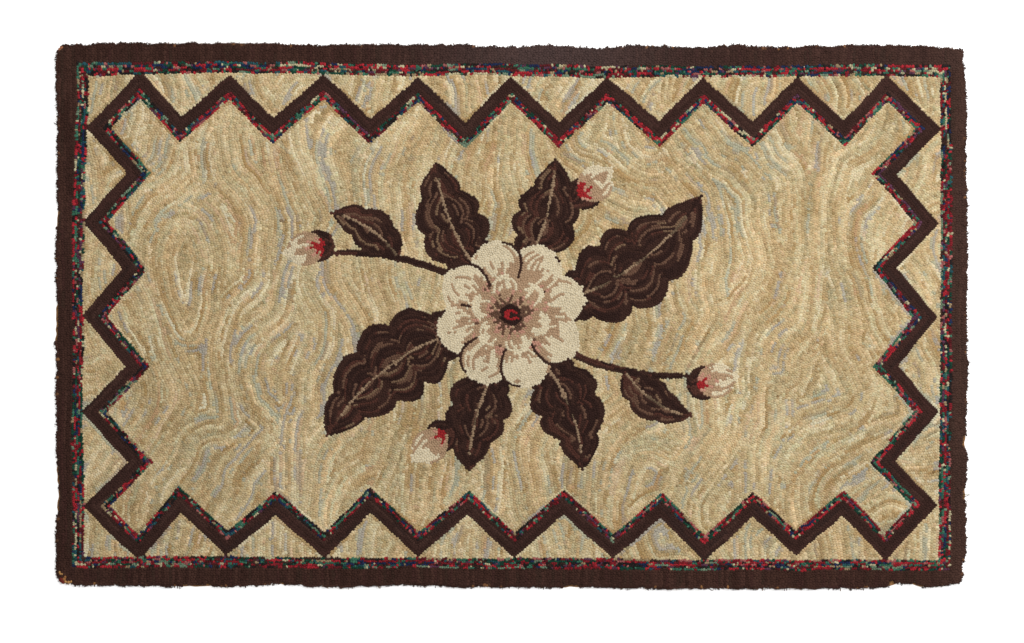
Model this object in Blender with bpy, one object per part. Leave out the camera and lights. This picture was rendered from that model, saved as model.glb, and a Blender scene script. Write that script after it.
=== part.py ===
"""A hooked rug: one flat piece of cloth, lying pile side up.

Metres, +Z up. X runs along the rug's length and Y across it. The origin is under the middle of the
rug, on the surface that it lies on. The rug is one solid, from the back of its burlap foundation to
the top of its wool loops. It has the uneven outline of hand work: each side has its own table of
insets from a true rectangle. Its rim is rounded, where the outer loops lean over the edge.
"""

from typing import NamedTuple

import bpy
import numpy as np

NAME = "hooked_rug"

LENGTH = 1.222  # along X, over the widest places
WIDTH = 0.730  # along Y, over the widest places
BURLAP_THICKNESS = 0.0015
LOOP_HEIGHT = 0.0065
THICKNESS = BURLAP_THICKNESS + LOOP_HEIGHT

CORNER_RADIUS = 0.015
CORNER_STEPS = 5
SIDE_STEP = 0.015  # between outline points on the sides
RIM_RADIUS = 0.0025
RIM_RESOLUTION = 2  # gives three facets round each edge of the rim
WELD_DISTANCE = 0.00005

WOOL_COLOUR = (0.42, 0.31, 0.19, 1.0)  # the pile's average, linear
WOOL_ROUGHNESS = 0.95


class EdgeRow(NamedTuple):
    """How far a side falls short of the true rectangle at one place."""

    along: float  # 0 at the side's start, 1 at its end, going anticlockwise
    inset_mm: float


FRONT_SIDE = (  # lower left corner to lower right
    EdgeRow(along=0.00, inset_mm=5.5),
    EdgeRow(along=0.12, inset_mm=2.5),
    EdgeRow(along=0.18, inset_mm=3.0),
    EdgeRow(along=0.24, inset_mm=5.0),
    EdgeRow(along=0.30, inset_mm=2.5),
    EdgeRow(along=0.40, inset_mm=4.0),
    EdgeRow(along=0.44, inset_mm=1.5),
    EdgeRow(along=0.48, inset_mm=3.0),
    EdgeRow(along=0.52, inset_mm=1.0),
    EdgeRow(along=0.60, inset_mm=0.5),
    EdgeRow(along=0.68, inset_mm=0.0),
    EdgeRow(along=0.80, inset_mm=0.0),
    EdgeRow(along=0.90, inset_mm=0.5),
    EdgeRow(along=0.92, inset_mm=1.5),
    EdgeRow(along=0.94, inset_mm=6.5),
    EdgeRow(along=0.96, inset_mm=1.5),
    EdgeRow(along=0.98, inset_mm=2.0),
    EdgeRow(along=1.00, inset_mm=6.0),
)
RIGHT_SIDE = (  # lower right corner to upper right
    EdgeRow(along=0.00, inset_mm=4.5),
    EdgeRow(along=0.07, inset_mm=1.0),
    EdgeRow(along=0.20, inset_mm=0.5),
    EdgeRow(along=0.33, inset_mm=1.0),
    EdgeRow(along=0.40, inset_mm=0.0),
    EdgeRow(along=0.50, inset_mm=0.5),
    EdgeRow(along=0.60, inset_mm=0.0),
    EdgeRow(along=0.73, inset_mm=0.5),
    EdgeRow(along=0.80, inset_mm=2.0),
    EdgeRow(along=0.87, inset_mm=0.5),
    EdgeRow(along=0.93, inset_mm=1.0),
    EdgeRow(along=1.00, inset_mm=4.5),
)
BACK_SIDE = (  # upper right corner to upper left
    EdgeRow(along=0.00, inset_mm=7.5),
    EdgeRow(along=0.04, inset_mm=3.0),
    EdgeRow(along=0.12, inset_mm=3.0),
    EdgeRow(along=0.20, inset_mm=5.0),
    EdgeRow(along=0.24, inset_mm=2.5),
    EdgeRow(along=0.30, inset_mm=4.5),
    EdgeRow(along=0.36, inset_mm=3.5),
    EdgeRow(along=0.40, inset_mm=6.5),
    EdgeRow(along=0.45, inset_mm=3.0),
    EdgeRow(along=0.52, inset_mm=5.0),
    EdgeRow(along=0.56, inset_mm=2.0),
    EdgeRow(along=0.66, inset_mm=1.5),
    EdgeRow(along=0.72, inset_mm=2.5),
    EdgeRow(along=0.76, inset_mm=0.5),
    EdgeRow(along=0.86, inset_mm=0.0),
    EdgeRow(along=0.96, inset_mm=0.0),
    EdgeRow(along=1.00, inset_mm=2.0),
)
LEFT_SIDE = (  # upper left corner to lower left
    EdgeRow(along=0.00, inset_mm=2.0),
    EdgeRow(along=0.20, inset_mm=3.5),
    EdgeRow(along=0.33, inset_mm=2.5),
    EdgeRow(along=0.40, inset_mm=0.5),
    EdgeRow(along=0.53, inset_mm=0.5),
    EdgeRow(along=0.65, inset_mm=1.0),
    EdgeRow(along=0.73, inset_mm=2.5),
    EdgeRow(along=0.82, inset_mm=2.0),
    EdgeRow(along=0.93, inset_mm=0.0),
    EdgeRow(along=1.00, inset_mm=3.0),
)


def clear_scene():
    """Removes whatever the scene holds."""
    for thing in list(bpy.data.objects):
        bpy.data.objects.remove(thing, do_unlink=True)


def insets(rows, along):
    """The inset at each place along a side, in metres: eased from row to row, level at each row."""
    places = np.array([row.along for row in rows])
    depths = np.array([row.inset_mm for row in rows]) / 1000
    before = np.clip(np.searchsorted(places, along, side="right") - 1, 0, len(rows) - 2)
    part = (along - places[before]) / (places[before + 1] - places[before])
    ease = part * part * (3 - 2 * part)
    return depths[before] + (depths[before + 1] - depths[before]) * ease


def side_points(rows, start, forward, run):
    """Points along one side, from start for the length run, each moved in by its inset."""
    outward = np.array([forward[1], -forward[0]])
    along = np.linspace(0, 1, round(run / SIDE_STEP) + 1)
    inset = insets(rows, along)
    return start + np.outer(along * run, forward) - np.outer(inset, outward)


def corner_points(centre, forward, inset_before, inset_after):
    """Points on the quarter turn after a side, without its two ends, which the sides hold."""
    outward = np.array([forward[1], -forward[0]])
    part = np.linspace(0, 1, CORNER_STEPS + 1)[1:-1]
    turn = part * np.pi / 2
    radius = CORNER_RADIUS - (inset_before + (inset_after - inset_before) * part)
    spokes = np.outer(np.cos(turn), outward) + np.outer(np.sin(turn), forward)
    return centre + spokes * radius[:, None]


def outline_points():
    """The rug's outline, anticlockwise seen from above: four uneven sides and four round corners."""
    half = np.array([LENGTH, WIDTH]) / 2
    inner = half - CORNER_RADIUS
    sides = (
        (FRONT_SIDE, np.array([1.0, 0.0]), np.array([-inner[0], -half[1]]), 2 * inner[0]),
        (RIGHT_SIDE, np.array([0.0, 1.0]), np.array([half[0], -inner[1]]), 2 * inner[1]),
        (BACK_SIDE, np.array([-1.0, 0.0]), np.array([inner[0], half[1]]), 2 * inner[0]),
        (LEFT_SIDE, np.array([0.0, -1.0]), np.array([-half[0], inner[1]]), 2 * inner[1]),
    )
    pieces = []
    for index, (rows, forward, start, run) in enumerate(sides):
        next_rows = sides[(index + 1) % len(sides)][0]
        outward = np.array([forward[1], -forward[0]])
        centre = start + forward * run - outward * CORNER_RADIUS
        pieces.append(side_points(rows, start, forward, run))
        pieces.append(
            corner_points(centre, forward, rows[-1].inset_mm / 1000, next_rows[0].inset_mm / 1000)
        )
    return np.vstack(pieces)


def wool_material():
    """The rug's wool: one plain colour, matt."""
    material = bpy.data.materials.new("Hooked wool")
    material.use_nodes = True
    shader = material.node_tree.nodes["Principled BSDF"]
    shader.inputs["Base Color"].default_value = WOOL_COLOUR
    shader.inputs["Roughness"].default_value = WOOL_ROUGHNESS
    shader.inputs["Metallic"].default_value = 0.0
    return material


def build_rug(collection):
    """The rug: its filled outline, extruded to its thickness.

    The curve's own bevel rounds both edges of the rim. It would widen the outline by its depth, so
    the outline is first drawn in by the same amount.
    """
    points = outline_points()
    curve = bpy.data.curves.new(NAME, "CURVE")
    curve.dimensions = "2D"
    curve.fill_mode = "BOTH"
    curve.extrude = THICKNESS / 2 - RIM_RADIUS
    curve.bevel_depth = RIM_RADIUS
    curve.bevel_resolution = RIM_RESOLUTION
    curve.offset = -RIM_RADIUS
    spline = curve.splines.new("POLY")
    spline.points.add(len(points) - 1)
    for point, (x, y) in zip(spline.points, points):
        point.co = (x, y, 0, 1)
    spline.use_cyclic_u = True
    curve.materials.append(wool_material())

    rug = bpy.data.objects.new(NAME, curve)
    rug.location.z = THICKNESS / 2
    collection.objects.link(rug)

    weld = rug.modifiers.new("Join caps to rim", "WELD")
    weld.merge_threshold = WELD_DISTANCE
    return rug


def main():
    """Clears the scene and builds the rug in a collection named for it."""
    clear_scene()
    collection = bpy.data.collections.new("Hooked rug")
    bpy.context.scene.collection.children.link(collection)
    build_rug(collection)


main()
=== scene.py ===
"""The looks of a hooked rug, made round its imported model.

Metres, +Z up. X runs along the rug's length and Y across it, with the origin on the surface that the
rug lies on. The pile is worked out the way it is hooked: loops of wool are set in rows, zone by zone,
then the rows are settled against each other, and every loop becomes a small rounded cushion that meets
its neighbours in a crease. The loops stand on a burlap foundation that shows where the rim is worn.
"""

from __future__ import annotations

import logging
from dataclasses import dataclass, field
from enum import IntEnum
from typing import NamedTuple, Sequence

import bpy
import numpy as np
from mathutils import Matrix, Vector
from mathutils.geometry import delaunay_2d_cdt


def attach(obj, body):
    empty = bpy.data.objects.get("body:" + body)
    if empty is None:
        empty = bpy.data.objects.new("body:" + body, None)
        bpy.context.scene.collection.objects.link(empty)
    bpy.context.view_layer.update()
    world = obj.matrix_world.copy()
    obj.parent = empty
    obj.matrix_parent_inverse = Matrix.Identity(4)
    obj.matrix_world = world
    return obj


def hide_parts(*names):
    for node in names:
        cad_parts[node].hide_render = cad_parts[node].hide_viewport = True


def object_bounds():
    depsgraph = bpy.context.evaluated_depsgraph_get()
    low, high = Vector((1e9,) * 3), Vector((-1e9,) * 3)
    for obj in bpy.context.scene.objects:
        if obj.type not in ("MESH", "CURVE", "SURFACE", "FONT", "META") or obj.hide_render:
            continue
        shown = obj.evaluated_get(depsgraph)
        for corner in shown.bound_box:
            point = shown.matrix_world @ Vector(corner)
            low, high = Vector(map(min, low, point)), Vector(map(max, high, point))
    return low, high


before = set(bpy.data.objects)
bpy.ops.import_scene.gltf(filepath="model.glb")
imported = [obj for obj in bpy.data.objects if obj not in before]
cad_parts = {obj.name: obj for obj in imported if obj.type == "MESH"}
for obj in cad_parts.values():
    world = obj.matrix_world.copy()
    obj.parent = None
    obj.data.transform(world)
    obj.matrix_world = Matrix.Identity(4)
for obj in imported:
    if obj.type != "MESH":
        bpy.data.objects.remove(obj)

Array = np.ndarray
Dice = np.random.Generator
Rgb = tuple[int, int, int]  # a screen colour, 0 to 255
Node, Socket, Tree = bpy.types.Node, bpy.types.NodeSocket, bpy.types.NodeTree

CAD_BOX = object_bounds()
RUG_NODE = "hooked_rug"
BODY = "root"
PILE_SLOT = "wool_pile"
BURLAP_SLOT = "burlap"

MM = 0.001
ROW = 3.7 * MM  # from one hooked row to the next
STITCH = 3.2 * MM  # from loop to loop along a row
BURLAP_THICKNESS = 1.5 * MM
PILE_TOP = 7.8 * MM
CREASE_HEIGHT = 5.8 * MM  # of the crease between two loops
RIM_HEIGHT = 4.4 * MM  # of the outer edge of the outermost loops
PILE_FOOT = 1.3 * MM  # the loops' feet, just inside the burlap
UNDERSIDE_COLOUR = (120, 92, 60)
COLOUR_LAYER = "loop_colour"
STRAND_LAYER = "Strand"
BAKE_LAYER = "OFBake"

log = logging.getLogger("hooked_rug")


# ---- numbers


def linear(rgb: Sequence[float] | Array) -> Array:
    """Linear light from screen colours of 0 to 255, by the sRGB curve.

    Args:
        rgb: One colour, or rows of colours.

    Returns:
        The colours in the same layout, from 0 to 1.
    """
    share = np.asarray(rgb, float) / 255
    return np.where(share <= 0.04045, share / 12.92, ((share + 0.055) / 1.055) ** 2.4)


def cross(one: Array, other: Array) -> Array:
    """The cross product of each row of one flat array with the same row of the other."""
    return one[:, 0] * other[:, 1] - one[:, 1] * other[:, 0]


def unit(angle: Array) -> Array:
    """A flat arrow of length one for each angle."""
    return np.column_stack([np.cos(angle), np.sin(angle)])


def inside(polygon: Array, place: Array) -> Array:
    """Whether each place lies in a polygon.

    Args:
        polygon: Its corners, in order.
        place: The places, one to a row.

    Returns:
        True or False for each place.
    """
    return enclosed(polygon, np.roll(polygon, -1, axis=0), place)


def enclosed(start: Array, end: Array, place: Array) -> Array:
    """Whether each place lies within closed lines, by counting the legs that a ray to +X crosses.

    Args:
        start: One end of every leg, the legs in any order.
        end: Their other ends.
        place: The places, one to a row.

    Returns:
        True or False for each place.
    """
    odd = np.zeros(len(place), bool)
    x, y = place.T
    for (ax, ay), (bx, by) in zip(start, end):
        if ay != by:
            odd ^= ((ay > y) != (by > y)) & (x < (bx - ax) * (y - ay) / (by - ay) + ax)
    return odd


def moved_in(corners: Array, distance: float) -> Array:
    """An anticlockwise polygon with every side moved inward, its corners kept sharp.

    A corner moves along the sum of its two sides' unit normals, divided by one plus their dot
    product, which keeps it on both moved sides.

    Args:
        corners: The polygon's corners.
        distance: How far each side moves, negative for outward.

    Returns:
        The new corners, in the same order.
    """
    legs = np.roll(corners, -1, axis=0) - corners
    legs /= np.linalg.norm(legs, axis=1)[:, None]
    after = np.column_stack([-legs[:, 1], legs[:, 0]])
    before = np.roll(after, 1, axis=0)
    reach = (before + after) / (1 + (before * after).sum(axis=1))[:, None]
    return corners + reach * distance


class Walk(NamedTuple):
    """Places at even steps along a line."""

    place: Array
    heading: Array
    along: Array


def walk(path: Array, step: float, closed: bool = False) -> Walk:
    """Places at even steps along a line of straight legs, half a step in from its start.

    Args:
        path: The line's points.
        step: The wanted distance between places, adjusted to fit a whole number.
        closed: Whether the line runs back to its start.

    Returns:
        The places, the line's direction at each, and the distance walked.
    """
    ends = np.vstack([path, path[:1]]) if closed else path
    legs = np.diff(ends, axis=0)
    walked = np.concatenate([[0.0], np.cumsum(np.hypot(*legs.T))])
    count = max(round(walked[-1] / step), 1)
    along = (np.arange(count) + 0.5) * walked[-1] / count
    leg = np.clip(np.searchsorted(walked, along, side="right") - 1, 0, len(legs) - 1)
    place = np.column_stack([np.interp(along, walked, ends[:, 0]), np.interp(along, walked, ends[:, 1])])
    return Walk(place, np.arctan2(legs[leg, 1], legs[leg, 0]), along)


def strip_numbers(along: Array, mean: float, rng: Dice) -> Array:
    """Numbers the strips of wool that make up a row, whose ends fall at random.

    Args:
        along: Distance of each loop along its row.
        mean: A strip's mean length.
        rng: Where the lengths come from.

    Returns:
        The strip's number for each loop.
    """
    shortest = 0.35  # of the mean
    most = int(2.5 * (along.max(initial=0) / mean)) + 8
    ends = np.cumsum(mean * (shortest + rng.exponential(1 - shortest, most)))
    return np.searchsorted(ends, along)


class Drift:
    """Smooth random numbers from -1 to 1: a seeded value at each point of a square lattice, and an
    S-shaped ease between neighbours in every direction."""

    SIDES = {2: 97, 3: 41}

    def __init__(self, cell: float | tuple[float, ...], seed: int, axes: int = 2) -> None:
        """Sets the lattice's spacing and fills it.

        Args:
            cell: The spacing, in the units of the places asked for, the same or one for each axis.
            seed: Chooses the values.
            axes: How many numbers a place has.
        """
        self.cell = np.array(cell)
        self.side = self.SIDES[axes]
        self.values = np.random.default_rng(seed).uniform(-1, 1, (self.side,) * axes)

    def __call__(self, place: Array) -> Array:
        """The value at each place, one to a row."""
        at = place / self.cell + self.side / 2
        low = np.floor(at).astype(int)
        ease = (at - low) ** 2 * (3 - 2 * (at - low))
        total = np.zeros(len(place))
        for corner in np.ndindex((2,) * self.values.ndim):
            weight = np.where(corner, ease, 1 - ease).prod(axis=1)
            total += weight * self.values[tuple(((low + corner) % self.side).T)]
        return total


class Wave(NamedTuple):
    """A drift with its greatest reach either way."""

    reach: float
    cell: tuple[float, ...]
    seed: int
    folded: bool = False  # taken without its sign

    def at(self, place: Array) -> Array:
        """The value at each place, one to a row, with as many numbers as the cell has."""
        value = Drift(self.cell, self.seed, len(self.cell))(place)
        return self.reach * (np.abs(value) if self.folded else value)


# ---- loops


class Zone(IntEnum):
    """The parts of the pattern, each hooked in its own wools."""

    BORDER = 0
    STRIPE = 1
    BAND = 2
    TWEED = 3
    GROUND = 4
    LEAVES = 5
    PETALS = 6


class Rank(IntEnum):
    """Which of two crowded loops gives way: the one with the lower rank."""

    FILLING = 0
    GROUND = 2
    BORDER = 3
    EDGE_OF_GROUND = 4
    MOTIF = 5
    STRIPE = 6
    BAND = 7
    OUTLINE = 8
    RIM = 9


UNEVEN_MM = (0.62, 0.50, 0.48, 0.45, 0.40, 0.45, 0.34)  # how far loops sit off their rows, by zone
TURNED = (0.90, 0.70, 0.50, 0.70, 0.30, 0.40, 0.30)  # how far they twist off them, in radians


@dataclass
class Loops:
    """Loops of wool pulled through the burlap, one entry each in every array."""

    place: Array
    heading: Array
    zone: Array
    rank: Array
    colour: Array

    @classmethod
    def row(cls, walked: Walk, zone: Zone, rank: Rank, colour: Array) -> Loops:
        """The loops at the places of one walk, all in one zone."""
        count = len(walked.place)
        colours = np.broadcast_to(colour, (count, 3)).astype(float)
        return cls(
            walked.place, walked.heading, np.full(count, int(zone)), np.full(count, float(rank)), colours
        )

    @classmethod
    def joined(cls, parts: Sequence[Loops]) -> Loops:
        """All the loops of several sets, in order."""
        return cls(*(np.concatenate(arrays) for arrays in zip(*(vars(part).values() for part in parts))))

    def chosen(self, which: Array) -> Loops:
        """The loops that a mask or an index array picks."""
        return Loops(*(values[which] for values in vars(self).values()))


@dataclass(frozen=True)
class Wools:
    """A choice of wools, as the eye sees them hooked, with how often each is used."""

    shades: tuple[Rgb, ...]
    shares: tuple[float, ...]

    def pick(self, count: int, rng: Dice) -> Array:
        """Linear colours of count strips drawn by their shares."""
        share = np.array(self.shares) / sum(self.shares)
        return linear(self.shades)[rng.choice(len(self.shades), count, p=share)]

    def strips(self, along: Array, mean: float, rng: Dice) -> Array:
        """The colour of each loop of a row that is hooked in strips of mean length."""
        strips = strip_numbers(along, mean, rng)
        return self.pick(strips.max() + 1, rng)[strips]


# ---- layout


class Span(NamedTuple):
    """The tweed stripe's span at one place of a side: its edges' distances from the middle line."""

    along_mm: float  # in +X or +Y
    outer_mm: float
    inner_mm: float


FRONT_STRIPE = (  # left to right
    Span(-564, 337, 323), Span(-403, 336, 322), Span(-269, 337.5, 323.5),
    Span(-135, 338, 325), Span(0, 338.5, 324.5), Span(133, 339, 325.5),
    Span(267, 340.5, 327), Span(535, 340.5, 327),
)
RIGHT_STRIPE = (  # front to back
    Span(-300, 589.5, 573), Span(-100, 590, 575.5), Span(100, 590, 575.5),
    Span(300, 589.5, 576),
)
BACK_STRIPE = (  # right to left
    Span(535, 336.5, 321.5), Span(401, 335.5, 321.5), Span(267, 335.5, 320.5),
    Span(133, 335, 318.5), Span(0, 338.5, 322.5), Span(-135, 337, 322.5),
    Span(-269, 339.5, 324.5), Span(-403, 340.5, 325.5), Span(-564, 340, 322),
)
LEFT_STRIPE = (  # back to front
    Span(300, 581.5, 567), Span(195, 585, 571), Span(115, 588.5, 572),
    Span(35, 588.5, 574), Span(-46, 586.5, 573), Span(-126, 588.5, 575),
    Span(-206, 587.5, 573), Span(-300, 588.5, 573),
)


class Tip(NamedTuple):
    """One outer tip of the zigzag band, and the notch that follows it."""

    along_mm: float  # place along its side, in +X or +Y
    reach_mm: float  # tip to the rug's middle line
    notch_at_mm: float = 0.0  # place of the next notch along the side
    notch_mm: float = 0.0  # bottom of that notch to the middle line


FRONT_TIPS = (  # left to right
    Tip(-498, 328, -443, 264), Tip(-382, 322, -316, 267), Tip(-250, 325, -188, 264),
    Tip(-125, 324, -57, 267), Tip(4, 324, 71, 267), Tip(137, 326, 201, 271),
    Tip(259, 328, 324, 270), Tip(381, 321, 444, 268), Tip(502, 328),
)
RIGHT_TIPS = (  # front to back
    Tip(-254, 571, -195, 515), Tip(-127, 574, -68, 518), Tip(-2, 572, 64, 517),
    Tip(124, 573, 190, 517), Tip(251, 577),
)
BACK_TIPS = (  # right to left
    Tip(503, 323, 446, 262), Tip(384, 321, 323, 261), Tip(257, 320, 198, 261),
    Tip(129, 320, 64, 260), Tip(0, 322, -62, 260), Tip(-125, 321, -189, 264),
    Tip(-252, 324, -318, 265), Tip(-377, 323, -442, 268), Tip(-498, 329),
)
LEFT_TIPS = (  # back to front
    Tip(252, 570, 192, 516), Tip(126, 575, 64, 520), Tip(0, 575, -68, 517),
    Tip(-128, 576, -195, 514), Tip(-256, 574),
)


@dataclass(frozen=True)
class Layout:
    """Where the pattern's bands run: the stripe's two edges and the zigzag's three."""

    band_width: float = 16.4 * MM
    tweed_width: float = 8.4 * MM

    def zigzag(self) -> Array:
        """The outer edge of the zigzag band, anticlockwise, with a straight leg across each corner."""
        sides = (
            (FRONT_TIPS, np.array([1, 0]), np.array([0, -1])),
            (RIGHT_TIPS, np.array([0, 1]), np.array([1, 0])),
            (BACK_TIPS, np.array([1, 0]), np.array([0, 1])),
            (LEFT_TIPS, np.array([0, 1]), np.array([-1, 0])),
        )
        corners = []
        for tips, along, outward in sides:
            for tip in tips:
                corners.append(tip.along_mm * along + tip.reach_mm * outward)
                if tip.notch_mm:
                    corners.append(tip.notch_at_mm * along + tip.notch_mm * outward)
        return MM * np.array(corners, float)

    def stripe(self, share: float) -> Array:
        """A line round the stripe, anticlockwise, from its outer edge at a share of 0 to its inner
        at 1. It meets itself at four square corners."""
        sides = (FRONT_STRIPE, RIGHT_STRIPE, BACK_STRIPE, LEFT_STRIPE)
        signs = (-1, 1, 1, -1)
        reach = [[at.outer_mm + (at.inner_mm - at.outer_mm) * share for at in side] for side in sides]
        corners = []
        for index, (side, sign) in enumerate(zip(sides, signs)):
            upright = index % 2 == 1
            after = signs[(index + 1) % 4] * reach[(index + 1) % 4][0]
            line = [(at.along_mm, sign * far) for at, far in zip(side, reach[index])]
            line.append((after, sign * reach[index][-1]))
            corners += [(y, x) if upright else (x, y) for x, y in line]
        return MM * np.array(corners, float)

    def zones(self, place: Array) -> Array:
        """The zone of each place, leaving out the motif."""
        zigzag = self.zigzag()
        zone = np.full(len(place), int(Zone.GROUND))
        past_band = inside(moved_in(zigzag, self.band_width), place)
        past_tweed = inside(moved_in(zigzag, self.band_width + self.tweed_width), place)
        zone[inside(zigzag, place) & ~past_band] = Zone.BAND
        zone[past_band & ~past_tweed] = Zone.TWEED
        zone[~inside(self.stripe(1), place)] = Zone.STRIPE
        zone[~inside(self.stripe(0), place)] = Zone.BORDER
        return zone


def rug_outline() -> Array:
    """The rug's outline, anticlockwise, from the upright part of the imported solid's rim.

    The points of the solid's wall are sorted by their direction from the middle, which orders them
    because every point of the rim can be seen from there.

    Returns:
        The outline's points.
    """
    mesh = bpy.data.objects[RUG_NODE].data
    points = np.empty(len(mesh.vertices) * 3, np.float32)
    mesh.vertices.foreach_get("co", points)
    points = points.reshape(-1, 3).astype(float)
    low, high = points[:, 2].min(), points[:, 2].max()
    wall_half = 0.24 * (high - low)  # the rounded edges take up the rest of the height
    middle = points[np.abs(points[:, 2] - (low + high) / 2) < wall_half]
    places = np.unique(np.round(middle[:, :2], 5), axis=0)
    return places[np.argsort(np.arctan2(places[:, 1], places[:, 0]))]


@dataclass(frozen=True)
class Hand:
    """The unevenness of hand work: a ragged rim, and lines that stray from the drawing."""

    rim_step: float = 2.4 * MM
    overhang: float = 0.6 * MM  # of the rim's loops past the outline, on average
    ragged: Wave = Wave(1.5 * MM, (7.0 * MM, 7.0 * MM), 61)
    wobble: float = 1.1 * MM
    slow_cell: float = 0.045
    quick_cell: float = 0.012
    quick_share: float = 0.6  # of the quick drift, against the slow one

    def rim(self, outline: Array) -> Array:
        """The outline at steps of about a loop, each point a little in or out."""
        fine = walk(outline, self.rim_step, closed=True)
        outward = np.column_stack([np.sin(fine.heading), -np.cos(fine.heading)])
        out = self.overhang + self.ragged.at(fine.place)
        return fine.place + out[:, None] * outward

    def strayed(self, place: Array) -> Array:
        """The places after a slow and a quick smooth drift."""
        slow = np.column_stack([Drift(self.slow_cell, seed)(place) for seed in (1, 2)])
        quick = np.column_stack([Drift(self.quick_cell, seed)(place) for seed in (3, 4)])
        return place + self.wobble * slow + self.quick_share * self.wobble * quick


# ---- plain bands


@dataclass(frozen=True)
class Border:
    """The dark outer border: upright rows, with one row laid round the rim."""

    wools: Wools = Wools(
        ((59, 38, 32), (63, 41, 34), (55, 35, 29), (67, 44, 37), (61, 38, 33), (57, 39, 32)),
        (0.30, 0.24, 0.20, 0.12, 0.07, 0.07),
    )
    faded: Wools = Wools(((112, 76, 50), (92, 62, 43), (132, 92, 58), (76, 52, 39)), (0.3, 0.3, 0.1, 0.3))
    rim_inset: float = 1.7 * MM
    strip_length: float = 60 * MM
    core_inset: float = 2.72 * MM  # the upright rows stop here
    bleach_cell: float = 0.05  # bleached loops gather in stretches of about this length
    bleach_gathered: float = 0.6
    bleach_scattered: float = 0.5
    bleach_limit: float = 0.85  # a higher limit leaves fewer
    seed: int = 11

    def hooked(self, layout: Layout, outline: Array) -> Loops:
        """Its loops, kept to the border's zone and inside the rim row."""
        rng = np.random.default_rng(self.seed)
        rim = self.dyed(walk(moved_in(outline, self.rim_inset), STITCH, closed=True), Rank.RIM, rng)
        gathered = Drift(self.bleach_cell, self.seed)(rim.place)
        chance = self.bleach_gathered * gathered
        chance += self.bleach_scattered * rng.normal(0, 1, len(gathered))
        bleached = chance > self.bleach_limit
        rim.colour[bleached] = self.faded.pick(bleached.sum(), rng)
        parts = [rim]
        low, high = outline.min(axis=0), outline.max(axis=0)
        for x in np.arange(low[0] + 2 * self.rim_inset, high[0] - 2 * self.rim_inset, ROW):
            walked = walk(np.array([(x, low[1]), (x, high[1])]), STITCH)
            parts.append(self.dyed(walked, Rank.BORDER, rng))
        loops = Loops.joined(parts)
        core = inside(moved_in(outline, self.core_inset), loops.place) | (loops.rank == Rank.RIM)
        return loops.chosen(core & (layout.zones(loops.place) == Zone.BORDER))

    def dyed(self, walked: Walk, rank: Rank, rng: Dice) -> Loops:
        """One row of loops in strips of the border's wools."""
        shades = self.wools.strips(walked.along, self.strip_length, rng)
        return Loops.row(walked, Zone.BORDER, rank, shades)


@dataclass(frozen=True)
class Tweed:
    """Rows of many-coloured scraps, changing every few loops."""

    wools: Wools = Wools(
        (
            (160, 42, 50), (122, 33, 40), (90, 33, 36), (28, 64, 50), (58, 102, 82), (108, 126, 104),
            (34, 44, 74), (40, 78, 84), (38, 33, 32), (180, 170, 136), (152, 90, 86), (88, 54, 72),
            (146, 126, 96), (62, 42, 36),
        ),
        (0.14, 0.12, 0.08, 0.09, 0.08, 0.04, 0.07, 0.06, 0.10, 0.05, 0.05, 0.06, 0.05, 0.09),
    )
    stitch: float = 2.6 * MM
    strip_length: float = 3.6 * MM
    stretch_length: float = 90 * MM
    favoured_share: float = 0.36  # of a stretch's strips, in its favourite scrap
    darkest: float = 0.75  # least and greatest share of its scrap's shade in a loop
    lightest: float = 1.12
    seed: int = 23

    def stripe(self, layout: Layout, rows: int = 5) -> Loops:
        """The rectangular stripe inside the border, in rows between its two edges."""
        rng = np.random.default_rng(self.seed)
        parts = []
        for row in range(rows):
            walked = walk(layout.stripe((row + 0.5) / rows), self.stitch, closed=True)
            parts.append(self.dyed(walked, Zone.STRIPE, Rank.STRIPE, rng))
        return Loops.joined(parts)

    def line(self, layout: Layout, rows: int = 3) -> Loops:
        """The line along the inner side of the zigzag band."""
        rng = np.random.default_rng(self.seed + 1)
        parts = []
        for row in range(rows):
            path = moved_in(layout.zigzag(), layout.band_width + layout.tweed_width * (row + 0.5) / rows)
            parts.append(self.dyed(walk(path, self.stitch, closed=True), Zone.TWEED, Rank.BAND, rng))
        return Loops.joined(parts)

    def dyed(self, walked: Walk, zone: Zone, rank: Rank, rng: Dice) -> Loops:
        """One row of loops in short strips of scraps, each loop a little off its strip's shade.

        Each long stretch of the row has a favourite scrap, which comes up in a third of its strips.
        """
        strips = strip_numbers(walked.along, self.strip_length, rng)
        shades = self.wools.pick(strips.max() + 1, rng)[strips]
        favourites = self.wools.strips(walked.along, self.stretch_length, rng)
        favoured = (rng.random(strips.max() + 1) < self.favoured_share)[strips]
        shades[favoured] = favourites[favoured]
        shades *= rng.uniform(self.darkest, self.lightest, (len(strips), 1))
        return Loops.row(walked, zone, rank, shades)


@dataclass(frozen=True)
class Band:
    """The dark zigzag band, hooked in rows along it."""

    wools: Wools = Wools(
        ((58, 38, 33), (54, 35, 30), (62, 40, 35), (65, 44, 38), (53, 36, 32)),
        (0.34, 0.24, 0.16, 0.14, 0.12),
    )
    rows: int = 4
    strip_length: float = 45 * MM
    seed: int = 31

    def hooked(self, layout: Layout) -> Loops:
        """Its loops, in mitred rows from the outer edge inward, where the stripe doesn't cover them."""
        rng = np.random.default_rng(self.seed)
        parts = []
        for row in range(self.rows):
            path = moved_in(layout.zigzag(), layout.band_width * (row + 0.5) / self.rows)
            walked = walk(path, STITCH, closed=True)
            shades = self.wools.strips(walked.along, self.strip_length, rng)
            parts.append(Loops.row(walked, Zone.BAND, Rank.BAND, shades))
        loops = Loops.joined(parts)
        return loops.chosen(inside(layout.stripe(1), loops.place))


# ---- motif


class Form(IntEnum):
    """What a blade of the motif is."""

    LEAF = 0
    STEM = 1
    PETAL = 2
    INNER_PETAL = 3
    BUD = 4
    HEART = 5


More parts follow.
